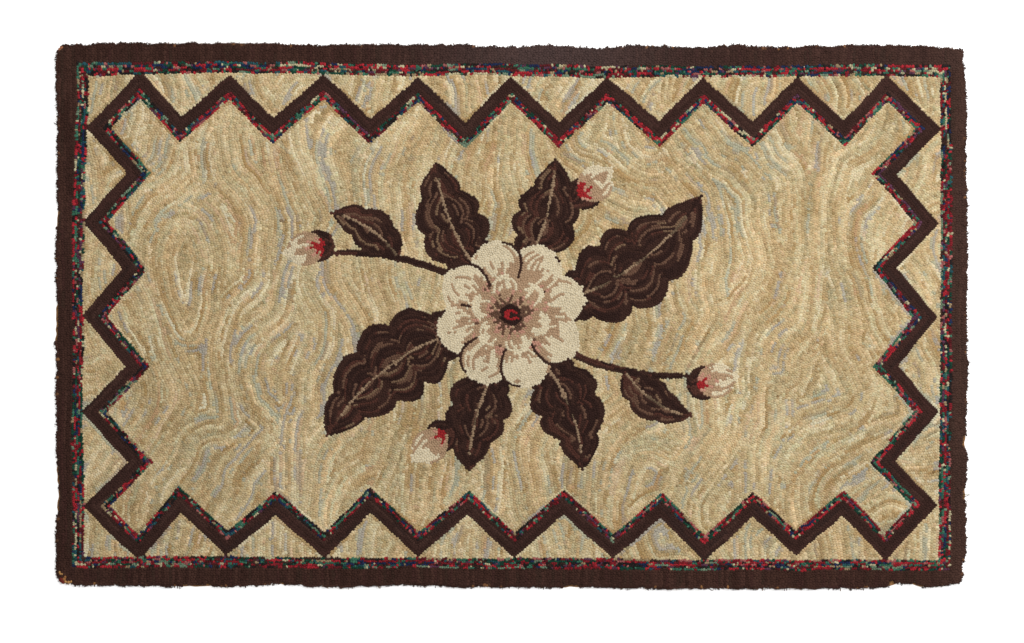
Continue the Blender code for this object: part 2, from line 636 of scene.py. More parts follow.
FULLNESS = {  # where along it each form is widest, and how blunt its ends are
    Form.LEAF: (0.80, 0.85),
    Form.STEM: (0.60, 0.25),
    Form.PETAL: (1.50, 0.62),
    Form.INNER_PETAL: (1.45, 0.60),
    Form.BUD: (1.10, 0.75),
    Form.HEART: (1.00, 0.50),
}


@dataclass(frozen=True)
class Blade:
    """A leaf, petal, bud or stem: a strip that widens and narrows along a bent spine."""

    form: Form
    x_mm: float
    y_mm: float
    heading: float  # degrees at the root
    length_mm: float
    width_mm: float
    bend: float = 0.0  # degrees turned from root to tip, left is positive
    lobes: int = 0
    notch: float = 0.0  # depth of the notches between lobes, as a share of the half-width

    @property
    def radius(self) -> float:
        """The spine's radius in metres, positive when it bends left. A straight one is nearly so."""
        straightest = 0.5
        bend = self.bend if abs(self.bend) > straightest else straightest
        return MM * self.length_mm / np.radians(bend)

    def half_width(self, share: Array) -> Array:
        """Half the width at each share of the length.

        It is a sine of the share raised to the form's power, itself raised to the form's bluntness,
        with a rounded notch between one lobe and the next.
        """
        lean, blunt = FULLNESS[self.form]
        swell = np.sin(np.pi * np.clip(share, 0, 1) ** lean) ** blunt
        if self.lobes:
            wave = np.abs(np.sin(np.pi * self.lobes * np.clip(share, 0, 1) ** 0.9))
            swell = swell * (1 - self.notch * (1 - wave**0.6))
        return MM * self.width_mm / 2 * swell

    def local(self, place: Array) -> tuple[Array, Array]:
        """Distance along the spine, and distance to its left, of each place."""
        turn = np.radians(self.heading)
        x, y = (place - MM * np.array([self.x_mm, self.y_mm])).T
        x, y = x * np.cos(turn) + y * np.sin(turn), y * np.cos(turn) - x * np.sin(turn)
        radius = self.radius
        side = np.sign(radius)
        along = abs(radius) * np.arctan2(x, side * (radius - y))
        return along, side * (abs(radius) - np.hypot(x, y - radius))

    def world(self, along: Array, left: Array) -> Array:
        """The places at these distances along and to the left of the spine."""
        turn = np.radians(self.heading)
        radius = self.radius
        angle = along / radius
        x = (radius - left) * np.sin(angle)
        y = radius - (radius - left) * np.cos(angle)
        spun = np.column_stack([x * np.cos(turn) - y * np.sin(turn), x * np.sin(turn) + y * np.cos(turn)])
        return spun + MM * np.array([self.x_mm, self.y_mm])

    def covers(self, place: Array) -> Array:
        """Whether each place is on the blade."""
        along, left = self.local(place)
        length = MM * self.length_mm
        return (along > 0) & (along < length) & (np.abs(left) < self.half_width(along / length))

    def rows(self) -> list[tuple[Walk, Rank]]:
        """Its hooked rows: the spine, and echoes of the outline from the edge inward."""
        length = MM * self.length_mm
        along = np.linspace(0, length, max(int(self.length_mm), 12))  # about one to a millimetre
        spine = walk(self.world(along, np.zeros_like(along)), STITCH)
        made = [(spine, Rank.MOTIF)] if self.form != Form.HEART else []
        half = self.half_width(along / length)
        for step in range(int(half.max() / ROW) + 1):
            inset = (step + 0.5) * ROW
            kept = half - inset > 0.5 * ROW
            if kept.sum() < 3:
                break
            for side in (1, -1):
                path = self.world(along[kept], side * (half[kept] - inset))
                made.append((walk(path, STITCH), Rank.OUTLINE if step == 0 else Rank.MOTIF))
        return made


LEAF_BLADES = (
    Blade(Form.STEM, 55, -38, -28, 215, 10, bend=34),
    Blade(Form.STEM, -55, 42, 152, 215, 10, bend=34),
    Blade(Form.STEM, 30, 78, 62, 95, 9, bend=-30),
    Blade(Form.STEM, -28, -76, 244, 95, 9, bend=-30),
    Blade(Form.LEAF, 152, -74, -58, 112, 58, bend=48, lobes=3, notch=0.22),
    Blade(Form.LEAF, -152, 78, 122, 112, 58, bend=48, lobes=3, notch=0.22),
    Blade(Form.LEAF, 58, 18, 14, 250, 122, bend=44, lobes=5, notch=0.30),
    Blade(Form.LEAF, -58, -16, 195, 246, 120, bend=46, lobes=5, notch=0.30),
    Blade(Form.LEAF, 38, -56, -50, 164, 98, bend=-38, lobes=4, notch=0.28),
    Blade(Form.LEAF, -40, 58, 130, 164, 98, bend=-36, lobes=4, notch=0.28),
    Blade(Form.LEAF, -18, -66, 240, 150, 90, bend=30, lobes=4, notch=0.26),
    Blade(Form.LEAF, 20, 68, 60, 150, 90, bend=30, lobes=4, notch=0.26),
)


class PetalRing(NamedTuple):
    """Equal petals round the flower's middle."""

    form: Form
    count: int
    first_heading: float  # degrees
    root_mm: float  # from the middle to each petal's root
    length_mm: float
    width_mm: float
    bend: float


PETAL_RINGS = (
    PetalRing(Form.PETAL, 8, 14, 20, 82, 70, 7),
    PetalRing(Form.INNER_PETAL, 6, 40, 8, 46, 42, 10),
)
HEART_MM = 30


def flower(x_mm: float, y_mm: float) -> list[Blade]:
    """The open flower: its two rings of petals and a round heart."""
    blades = []
    for ring in PETAL_RINGS:
        for index in range(ring.count):
            heading = 360 / ring.count * index + ring.first_heading
            turn = np.radians(heading)
            root = (x_mm + ring.root_mm * np.cos(turn), y_mm + ring.root_mm * np.sin(turn))
            blades.append(Blade(ring.form, *root, heading, ring.length_mm, ring.width_mm, ring.bend))
    blades.append(Blade(Form.HEART, x_mm - HEART_MM / 2, y_mm, 0, HEART_MM, HEART_MM))
    return blades


def bud(x_mm: float, y_mm: float, heading: float) -> list[Blade]:
    """A half-open bud of three petals in a dark cup, which starts a little way behind them."""
    turn = np.radians(heading)
    behind_mm = 12
    cup = (x_mm - behind_mm * np.cos(turn), y_mm - behind_mm * np.sin(turn))
    return [
        Blade(Form.LEAF, *cup, heading + 34, 46, 24, bend=-26),
        Blade(Form.LEAF, *cup, heading - 34, 46, 24, bend=26),
        Blade(Form.BUD, x_mm, y_mm, heading + 26, 52, 30, bend=-30),
        Blade(Form.BUD, x_mm, y_mm, heading - 26, 52, 30, bend=30),
        Blade(Form.BUD, x_mm, y_mm, heading, 60, 30),
    ]


@dataclass(frozen=True)
class Motif:
    """The spray in the middle: scrolled leaves, an open flower and four buds."""

    seed: int = 41
    dark: Rgb = (58, 38, 32)
    deep: Rgb = (48, 31, 27)
    russet: Rgb = (76, 47, 39)
    tan: Rgb = (112, 88, 68)
    vein: Rgb = (142, 118, 94)
    cream: Rgb = (204, 191, 163)
    shade: Rgb = (164, 136, 108)
    umber: Rgb = (96, 70, 56)
    blush: Rgb = (178, 134, 114)
    red: Rgb = (146, 38, 40)
    strip_length: float = 26 * MM
    blades: tuple[Blade, ...] = (
        *LEAF_BLADES,
        *bud(248, -92, 12), *bud(-248, 96, 192), *bud(92, 158, 42), *bud(-88, -156, 222),
        *flower(0, 2),
    )

    def owners(self, place: Array) -> Array:
        """The number of the topmost blade at each place, or -1."""
        owner = np.full(len(place), -1)
        for number, blade in enumerate(self.blades):
            owner[blade.covers(place)] = number
        return owner

    def hooked(self) -> Loops:
        """All its loops, each blade kept to where it shows."""
        rng = np.random.default_rng(self.seed)
        parts = []
        for number, blade in enumerate(self.blades):
            zone = Zone.LEAVES if blade.form in (Form.LEAF, Form.STEM) else Zone.PETALS
            for walked, rank in blade.rows():
                row = Loops.row(walked, zone, rank, self.shades(blade, walked, rng))
                parts.append(row.chosen(self.owners(row.place) == number))
        return Loops.joined(parts)

    def shades(self, blade: Blade, walked: Walk, rng: Dice) -> Array:
        """The colour of each loop of a row, by where it lies on its blade."""
        along, left = blade.local(walked.place)
        share = along / (MM * blade.length_mm)
        half = np.maximum(blade.half_width(share), ROW)
        out = np.abs(left) / half
        strips = strip_numbers(walked.along, self.strip_length, rng)
        chance = rng.uniform(0, 1, strips.max() + 1)[strips]
        if blade.form in (Form.LEAF, Form.STEM):
            return self.leaf_shades(blade, share, left, out, chance)
        return self.petal_shades(blade, share, left, out, chance)

    def leaf_shades(self, blade: Blade, share: Array, left: Array, out: Array, chance: Array) -> Array:
        """Dark wool, deeper at the root, with broken streaks of tan along the rows and a pale midrib.

        Each loop's share of the way along its blade, its distance left of the spine, and its share
        of the way out to the edge place it. Its strip's chance, from 0 to 1, picks the wool.
        """
        colour = np.tile(linear(self.dark), (len(share), 1))
        colour[(chance < 0.30) | (share < 0.14)] = linear(self.deep)
        colour[(chance > 0.66) & (out < 0.8)] = linear(self.russet)
        if blade.form == Form.LEAF and blade.width_mm > 40:
            lit = (out < 0.78) & (share > 0.16) & (share < 0.9)
            colour[lit & (chance > 0.80)] = linear(self.umber)
            colour[lit & (chance > 0.91) & (left > 0)] = linear(self.tan)
            midrib = (np.abs(left) < 0.5 * ROW) & (share > 0.04) & (share < 0.86)
            lit = np.where(chance > 0.35, 1.0, 0.45)[midrib, None]
            colour[midrib] = lit * linear(self.vein)
        return colour

    def petal_shades(self, blade: Blade, share: Array, left: Array, out: Array, chance: Array) -> Array:
        """Cream wool that darkens through tan to umber at the root, in streaks of uneven length.

        A bud is red at its root, and the heart is dark and red. One edge of each petal has a dark or
        shaded line. The arguments are the same as for leaves.
        """
        colour = np.tile(linear(self.cream), (len(share), 1))
        if blade.form == Form.HEART:
            colour[:] = linear(self.deep)
            colour[(out < 0.62) & (chance > 0.45)] = linear(self.red)
            return colour
        inner = blade.form == Form.INNER_PETAL
        deep = share / (1.3 if inner else 1.0) + 0.35 * (chance - 0.5)
        for limit, shade in ((0.50, self.shade), (0.30, self.blush), (0.20, self.umber)):
            colour[deep < limit] = linear(shade)
        colour[(chance > 0.90) & (share < 0.85)] = linear(self.shade)
        if blade.form == Form.BUD:
            colour[deep < 0.22] = linear(self.red)
        edge_row = ROW / (MM * blade.width_mm / 2)
        edge = (out > 1 - edge_row) & (left < 0) & (chance > 0.2)
        colour[edge] = linear(self.dark if blade.form == Form.PETAL else self.shade)
        return colour


# ---- ground


WANDERS = (  # how far the ground's lines move along X
    Wave(74 * MM, (0.135, 0.190), 57),
    Wave(66 * MM, (0.100, 0.150), 58, folded=True),
    Wave(17 * MM, (0.052, 0.070), 61),
    Wave(4 * MM, (0.022, 0.030), 59),
)
LINE_LEAN = Wave(0.30, (0.5, 0.5), 60)  # how far they move along X for each metre along Y


class Flow:
    """The distance from the lines drawn on the ground, which its rows echo, on a grid.

    The lines are contours of X plus several smooth random numbers, stretched along Y, so that they
    run up the rug and wander. One number is taken without its sign, which folds the lines into
    feathers where it passes zero. A last one, slow and growing with Y, leans them.
    """

    STEP = 1.25 * MM
    HALF = (0.63, 0.39)
    NONE = 9999  # a row that no column has
    BY_ROW, BY_LINE, BY_SIDE = 0.86, 7.7, 3.3  # what a row, a line and a line's far side add

    def __init__(self, spacing: float = 50 * MM, farthest: float = 70 * MM) -> None:
        """Draws the lines and measures from them.

        Args:
            spacing: The lines' mean distance from each other.
            farthest: The greatest distance measured.
        """
        axes = [np.arange(-half, half, self.STEP) for half in self.HALF]
        places = np.stack(np.meshgrid(*axes, indexing="ij"), axis=-1).reshape(-1, 2)
        shape = (len(axes[0]), len(axes[1]))
        moved = places[:, 0] + sum(wave.at(places) for wave in WANDERS)
        moved += places[:, 1] * LINE_LEAN.at(places)
        level = np.floor(moved / spacing).astype(int).reshape(shape)
        beside, above = np.roll(level, 1, axis=0), np.roll(level, 1, axis=1)
        drawn = (level != beside) | (level != above)
        line = np.maximum(level, np.where(level != beside, beside, above))
        self.distance, self.line = self.measured(drawn, line, int(farthest / self.STEP))
        self.level = level

    def measured(self, drawn: Array, line: Array, reach: int) -> tuple[Array, Array]:
        """The distance to the nearest drawn cell, and the number of its line.

        First each column finds its nearest drawn cell by running maxima and minima of their places.
        Then each cell takes the least of its neighbours' squared distances plus their own squared
        distance along X. Last, the distances are smoothed twice along each axis.
        """
        rows = np.broadcast_to(np.arange(drawn.shape[1]), drawn.shape)
        below = np.maximum.accumulate(np.where(drawn, rows, -self.NONE), axis=1)
        above = np.minimum.accumulate(np.where(drawn, rows, self.NONE)[:, ::-1], axis=1)[:, ::-1]
        found = np.where(rows - below <= above - rows, below, above)
        up = np.minimum(np.abs(rows - found), reach).astype(np.float32) ** 2
        owner = np.take_along_axis(line, np.clip(found, 0, drawn.shape[1] - 1), axis=1)
        best, nearest = up.copy(), owner.copy()
        for shift in range(1, reach):
            left, right = slice(None, -shift), slice(shift, None)
            for source, target in ((right, left), (left, right)):
                offered = up[source] + shift**2
                closer = offered < best[target]
                best[target] = np.where(closer, offered, best[target])
                nearest[target] = np.where(closer, owner[source], nearest[target])
        distance = np.sqrt(best) * self.STEP
        for axis in (0, 1, 0, 1):
            distance = (np.roll(distance, 1, axis) + 2 * distance + np.roll(distance, -1, axis)) / 4
        return distance, nearest

    def at(self, place: Array) -> tuple[Array, Array]:
        """The cell of each place, and how far it is across that cell."""
        grid = (place + np.array(self.HALF)) / self.STEP
        low = np.clip(np.floor(grid).astype(int), 1, np.array(self.distance.shape) - 3)
        return low, np.clip(grid - low, 0, 1)

    def sampled(self, place: Array) -> tuple[Array, Array]:
        """The distance at each place and the direction in which it grows."""
        low, part = self.at(place)
        total = np.zeros((len(place), 3))
        for corner in np.ndindex(2, 2):
            x, y = (low + corner).T
            weight = np.where(corner, part, 1 - part).prod(axis=1)
            slope_x = self.distance[x + 1, y] - self.distance[x - 1, y]
            slope_y = self.distance[x, y + 1] - self.distance[x, y - 1]
            total += weight[:, None] * np.column_stack([self.distance[x, y], slope_x, slope_y])
        slope = total[:, 1:] + 1e-9
        return total[:, 0], slope / np.linalg.norm(slope, axis=1)[:, None]

    def row_number(self, place: Array) -> Array:
        """A number for the row of each place: far apart for rows of different lines, near for
        neighbours."""
        low, _ = self.at(place)
        distance, _ = self.sampled(place)
        line, level = self.line[low[:, 0], low[:, 1]], self.level[low[:, 0], low[:, 1]]
        row = np.floor(distance / ROW)
        return row * self.BY_ROW + self.BY_LINE * line + self.BY_SIDE * (level - line)


class Tint(NamedTuple):
    """A wool mixed in where a smooth random number passes a limit."""

    colour: Rgb
    limit: float
    share: float


@dataclass(frozen=True)
class Ground:
    """The mottled ground: rows that echo long wandering lines, in many old pale wools."""

    seed: int = 57
    rounds: int = 4
    dark: Rgb = (150, 127, 88)
    middle: Rgb = (187, 167, 128)
    light: Rgb = (214, 199, 165)
    warm: Rgb = (193, 162, 119)
    cool: Rgb = (172, 170, 140)
    tints: tuple[Tint, ...] = (
        Tint((158, 160, 142), 0.56, 0.70),
        Tint((152, 118, 70), 0.52, 0.55),
        Tint((214, 203, 172), 0.58, 0.60),
        Tint((190, 154, 124), 0.66, 0.40),
        Tint((156, 152, 144), 0.60, 0.75),
        Tint((158, 128, 84), 0.50, 0.50),
    )
    scatter_half: tuple[float, float] = (0.60, 0.35)
    scatter_stray: float = 0.22 * STITCH
    apart: float = 1.25 * STITCH  # loops of one row are pushed this far apart
    push: float = 0.45  # of what is missing, at each round
    wobble: Wave = Wave(0.42, (9 * MM, 9 * MM), 65)  # of the row number: colours have uneven edges
    tone: Wave = Wave(0.68, (0.046, 0.058, 1.0), 67)  # its cell is in X, Y and rows
    broad_tone: Wave = Wave(0.20, (0.085, 0.110), 66)
    tone_stray: float = 0.20
    lean: Wave = Wave(0.55, (0.055, 0.070, 1.0), 68)  # to the warm or the cool shade
    lean_stray: float = 0.13
    lean_most: float = 0.8
    tint_cell: tuple[float, float, float] = (0.055, 0.085, 0.9)
    tint_seed: int = 77
    tint_ramp: float = 0.06  # past its limit, until a tint has its full share
    hue_stray: float = 0.012
    speck_share: float = 0.0012
    speck_shade: tuple[float, float, float] = (0.66, 0.60, 0.52)

    def hooked(self, layout: Layout, motif: Motif) -> Loops:
        """Its loops: an even scatter drawn onto the rows and spread along them, with one row laid
        along each edge of the zigzag."""
        rng = np.random.default_rng(self.seed)
        flow = Flow()
        place = self.scattered(rng)
        place = place[self.free(place, layout, motif)]
        for _ in range(self.rounds):
            place = self.spread(self.drawn_in(place, flow))
        place = self.drawn_in(place, flow)
        place = place[self.free(place, layout, motif)]
        _, growth = flow.sampled(place)
        heading = np.arctan2(growth[:, 0], -growth[:, 1])
        walked = Walk(place, heading, along=np.zeros(len(place)))  # the distance isn't used
        colour = self.dyed(place, flow.row_number(place), rng)
        echoes = Loops.row(walked, Zone.GROUND, Rank.GROUND, colour)
        loops = Loops.joined([echoes, *self.edge_rows(layout, rng)])
        return loops.chosen(self.free(loops.place, layout, motif))

    def free(self, place: Array, layout: Layout, motif: Motif) -> Array:
        """Whether each place is ground that no motif covers."""
        return (layout.zones(place) == Zone.GROUND) & (motif.owners(place) < 0)

    def scattered(self, rng: Dice) -> Array:
        """Places in staggered rows over the whole rug, each a little off."""
        across, up = (
            np.arange(-half, half, step) for half, step in zip(self.scatter_half, (ROW, STITCH))
        )
        x, y = np.meshgrid(across, up, indexing="ij")
        y = y + (np.arange(len(x)) % 2)[:, None] * STITCH / 2
        place = np.column_stack([x.ravel(), y.ravel()])
        return place + rng.normal(0, self.scatter_stray, place.shape)

    def drawn_in(self, place: Array, flow: Flow) -> Array:
        """Each place moved to the middle of its row."""
        distance, growth = flow.sampled(place)
        offset = (np.floor(distance / ROW) + 0.5) * ROW - distance
        return place + offset[:, None] * growth

    def spread(self, place: Array) -> Array:
        """Each place pushed off neighbours that are nearer than a stitch and a quarter."""
        edges = edges_of(triangulate(place))
        gap = place[edges[:, 0]] - place[edges[:, 1]]
        span = np.linalg.norm(gap, axis=1)
        push = gap / span[:, None] * np.clip(self.apart - span, 0, None)[:, None] * self.push
        moved = place.copy()
        np.add.at(moved, edges[:, 0], push)
        np.add.at(moved, edges[:, 1], -push)
        return moved

    def edge_rows(self, layout: Layout, rng: Dice) -> list[Loops]:
        """One row of ground along each side of the zigzag."""
        inner = layout.band_width + layout.tweed_width + 0.5 * ROW
        parts = []
        for number, inset in enumerate((-0.5 * ROW, inner)):
            walked = walk(moved_in(layout.zigzag(), inset), STITCH, closed=True)
            colour = self.dyed(walked.place, np.full(len(walked.place), 500.0 + 9 * number), rng)
            parts.append(Loops.row(walked, Zone.GROUND, Rank.EDGE_OF_GROUND, colour))
        return parts

    def dyed(self, place: Array, row: Array, rng: Dice) -> Array:
        """The colour of each loop.

        Smooth random numbers of place and row, so that a colour runs along its row and soon changes
        across, with an uneven edge, set the tone from dark to light and lean it warm or cool. Others
        mix in a tint where they pass its limit. Every loop then strays a little by itself, and a few
        are dark specks.
        """
        at = np.column_stack([place, row + self.wobble.at(place)])
        tone = self.tone.at(at) + self.broad_tone.at(place)
        tone = np.clip(tone + self.tone_stray * rng.standard_normal(len(place)), -1, 1)[:, None]
        dark, middle, light = (linear(shade) for shade in (self.dark, self.middle, self.light))
        colour = middle + np.where(tone > 0, tone * (light - middle), -tone * (dark - middle))
        lean = self.lean.at(at) + self.lean_stray * rng.standard_normal(len(place))
        lean = np.clip(lean, -self.lean_most, self.lean_most)[:, None]
        brightness = colour.sum(axis=1, keepdims=True)
        for side, shade in ((lean, self.warm), (-lean, self.cool)):
            wanted = linear(shade) / linear(shade).sum() * brightness
            colour += np.clip(side, 0, None) * (wanted - colour)
        for number, tint in enumerate(self.tints):
            chance = Drift(self.tint_cell, self.tint_seed + number, 3)(at)
            mixed = tint.share * np.clip((chance - tint.limit) / self.tint_ramp, 0, 1)[:, None]
            colour += mixed * (linear(tint.colour) - colour)
        colour *= rng.normal(1, self.hue_stray, (len(place), 3))
        specks = rng.random(len(place)) < self.speck_share
        colour[specks] *= self.speck_shade
        return colour


# ---- settling the pile


def triangulate(place: Array) -> Array:
    """The Delaunay triangles of the places, each anticlockwise, as rows of three numbers."""
    flat = [Vector(pair) for pair in place.tolist()]
    made = delaunay_2d_cdt(flat, [], [], 0, 1e-8, False)
    if len(made[0]) != len(place):
        raise ValueError("two loops share one place")
    triangles = np.array(made[2])
    a, b, c = np.moveaxis(place[triangles], 1, 0)
    turned = cross(b - a, c - a) < 0
    triangles[turned] = triangles[turned][:, ::-1]
    return triangles


def edges_of(triangles: Array) -> Array:
    """The triangles' edges, each once, as rows of two numbers."""
    ends = np.vstack([triangles[:, [0, 1]], triangles[:, [1, 2]], triangles[:, [2, 0]]])
    return np.unique(np.sort(ends, axis=1), axis=0)


@dataclass(frozen=True)
class Settling:
    """How the rows find room beside each other: crowded loops go, gaps are filled, all ease apart."""

    crowded: float = 0.60 * ROW
    gap: float = 0.80 * ROW  # a circle this wide between three loops has room for another
    widest: float = 3.0  # in gaps; wider ones lie outside the pile
    cell: float = 0.75 * ROW  # no more than one loop is added in each
    easing: float = 0.35
    seed: int = 71

    def settled(self, loops: Loops, bare: Array, layout: Layout, motif: Motif) -> Loops:
        """The loops after thinning, filling and easing.

        Args:
            loops: The rows as laid.
            bare: Places just outside the pile, which close it off.
            layout: Where the zones are.
            motif: Whose blades loops may not leave.

        Returns:
            The loops that stay, with those added.
        """
        rng = np.random.default_rng(self.seed)
        loops.rank = loops.rank + rng.uniform(0, 0.5, len(loops.rank))
        loops = self.thinned(loops)
        loops = self.thinned(self.filled(loops, bare, layout, motif, rng))
        place = np.vstack([loops.place, bare])
        edges = edges_of(triangulate(place))
        total = np.zeros_like(place)
        count = np.zeros(len(place))
        for one, other in ((0, 1), (1, 0)):
            np.add.at(total, edges[:, one], place[edges[:, other]])
            np.add.at(count, edges[:, one], 1)
        mean = (total / count[:, None])[: len(loops.place)]
        free = loops.rank < Rank.EDGE_OF_GROUND
        loops.place[free] += self.easing * (mean - loops.place)[free]
        return loops

    def thinned(self, loops: Loops) -> Loops:
        """Drops every loop that is crowded by one of higher rank, the lowest of each group first."""
        for _ in range(2):
            edges = edges_of(triangulate(loops.place))
            span = np.linalg.norm(loops.place[edges[:, 0]] - loops.place[edges[:, 1]], axis=1)
            edges = edges[span < self.crowded]
            stays = np.ones(len(loops.place), bool)
            while len(edges):
                lower = np.where(loops.rank[edges[:, 0]] < loops.rank[edges[:, 1]], edges[:, 0], edges[:, 1])
                higher = edges.sum(axis=1) - lower
                lowest = np.setdiff1d(lower, higher)
                stays[lowest] = False
                edges = edges[stays[edges].all(axis=1)]
            loops = loops.chosen(stays)
        return loops

    def filled(self, loops: Loops, bare: Array, layout: Layout, motif: Motif, rng: Dice) -> Loops:
        """Adds a loop in the middle of each gap, in the wool of a neighbour in the same zone."""
        place = np.vstack([loops.place, bare])
        triangles = triangulate(place)
        triangles = triangles[(triangles < len(loops.place)).all(axis=1)]
        a, b, c = np.moveaxis(place[triangles], 1, 0)
        ab, ac = b - a, c - a
        ab2, ac2 = (ab**2).sum(axis=1), (ac**2).sum(axis=1)
        from_a = np.column_stack([ac[:, 1] * ab2 - ab[:, 1] * ac2, ab[:, 0] * ac2 - ac[:, 0] * ab2])
        from_a /= 2 * cross(ab, ac)[:, None]
        reach = np.linalg.norm(from_a, axis=1)
        wide = np.flatnonzero((reach > self.gap) & (reach < self.widest * self.gap))
        centre = a[wide] + from_a[wide]
        cell = np.round(centre / self.cell).astype(int)
        _, first = np.unique(cell, axis=0, return_index=True)
        wide, centre = wide[first], centre[first]
        zone, owner = layout.zones(centre), motif.owners(centre)
        corners = triangles[wide]
        in_motif = (loops.zone[corners] > Zone.GROUND) & (owner >= 0)[:, None]
        alike = (loops.zone[corners] == zone[:, None]) | in_motif
        source = corners[np.arange(len(corners)), alike.argmax(axis=1)]
        added = loops.chosen(source)
        added.place = centre
        added.rank = Rank.FILLING + rng.uniform(0, 1, len(centre))
        return Loops.joined([loops, added.chosen(alike.any(axis=1))])


# ---- wear


class Oval(NamedTuple):
    """An oval place on the rug."""

    x_mm: float
    y_mm: float
    half_x_mm: float
    half_y_mm: float

    def reach(self, place: Array) -> Array:
        """How far out from its middle each place is: 1 on its edge."""
        x, y = (place / MM - (self.x_mm, self.y_mm)).T
        return np.hypot(x / self.half_x_mm, y / self.half_y_mm)


WORN_PLACES = (  # where the rim's outer loops are gone
    Oval(-609, 361, 6, 4), Oval(-607, -361, 5, 4), Oval(-611, -8, 4.4, 26), Oval(-611, -228, 4.2, 46),
    Oval(-610, 130, 3.4, 20), Oval(-309, -363, 26, 3.6), Oval(-420, -363, 18, 3.6),
    Oval(80, -365, 14, 3), Oval(536, -362, 20, 3), Oval(611, -172, 3, 10), Oval(611, -236, 3, 12),
    Oval(512, -361, 7, 5),
)
PATCHES = (  # where the border is hooked in another wool
    (Oval(-602, 358, 6, 2.6), (150, 98, 70)),
    (Oval(-606, -357, 6, 7), (106, 44, 36)),
    (Oval(-605, -345, 3, 4), (170, 128, 80)),
    (Oval(-600, -351, 4, 3), (142, 98, 60)),
    (Oval(-594, -357, 5, 3), (172, 128, 80)),
)


def uneven_edge(place: Array, stray: float, seed: int) -> Array:
    """An oval's reach in each place's direction: 1, give or take up to stray."""
    return 1 + stray * Drift(4 * MM, seed)(place)


def worn(place: Array) -> Array:
    """Whether each place is in a worn stretch."""
    edge = uneven_edge(place, 0.3, 83)
    return np.any([oval.reach(place) < edge for oval in WORN_PLACES], axis=0)


@dataclass(frozen=True)
class Ageing:
    """How light and feet have changed the wool: a faded back border, and slow uneven soiling. The right
    border is also made lighter by painted light.
    """

    band_y_mm: float = 330  # the back and front borders lie past this
    plum: Rgb = (86, 73, 72)
    plum_x_mm: float = 55  # middle of the faded stretch
    plum_spread_mm: float = 150
    plum_share: float = 0.42
    plum_right: float = 0.08  # more, at the right end
    right_end_mm: float = 600
    front_light: float = 1.02
    # painted light: the right border is mixed towards this lighter colour, as if lit from that side
    dust: Rgb = (82, 62, 54)
    dust_share: float = 0.30
    dust_from_mm: float = 560
    dust_ramp_mm: float = 40
    soiling: tuple[Wave, ...] = (Wave(0.05, (0.19, 0.19), 91), Wave(0.035, (0.045, 0.045), 92))

    def applied(self, loops: Loops) -> Array:
        """The loops' colours after it.

        The back border fades to a greyed plum about its middle, by a bell curve along X. The front
        border is a little lighter, and the right one is mixed towards a lighter grey-brown, a painted
        light as if lit from that side. Over everything, two smooth patterns darken or lighten the wool a
        little.
        """
        x, y = (loops.place / MM).T
        colour = loops.colour.copy()
        border = loops.zone == Zone.BORDER
        bell = np.exp(-(((x - self.plum_x_mm) / self.plum_spread_mm) ** 2))
        faded = self.plum_right * np.clip(x / self.right_end_mm, 0, 1) + self.plum_share * bell
        faded *= border * (y > self.band_y_mm)
        colour += (linear(self.plum) - colour) * faded[:, None]
        colour[border & (y < -self.band_y_mm)] *= self.front_light
        # painted light: the right border lightens past this place, over the ramp
        right = np.clip((x - self.dust_from_mm) / self.dust_ramp_mm, 0, 1) * border
        colour += (linear(self.dust) - colour) * (self.dust_share * right)[:, None]
        edge = uneven_edge(loops.place, 0.2, 84)
        for oval, wool in PATCHES:
            colour[border & (oval.reach(loops.place) < edge)] = linear(wool)
        mottle = 1 + sum(wave.at(loops.place) for wave in self.soiling)
        return np.clip(colour * mottle[:, None], 0, 1)


# ---- pile meshes


@dataclass
class Surface:
    """A mesh under construction: points, triangles, and what each triangle's corners carry."""

    points: Array
    triangles: Array
    colour: Array
    strand: Array
    bake: Array


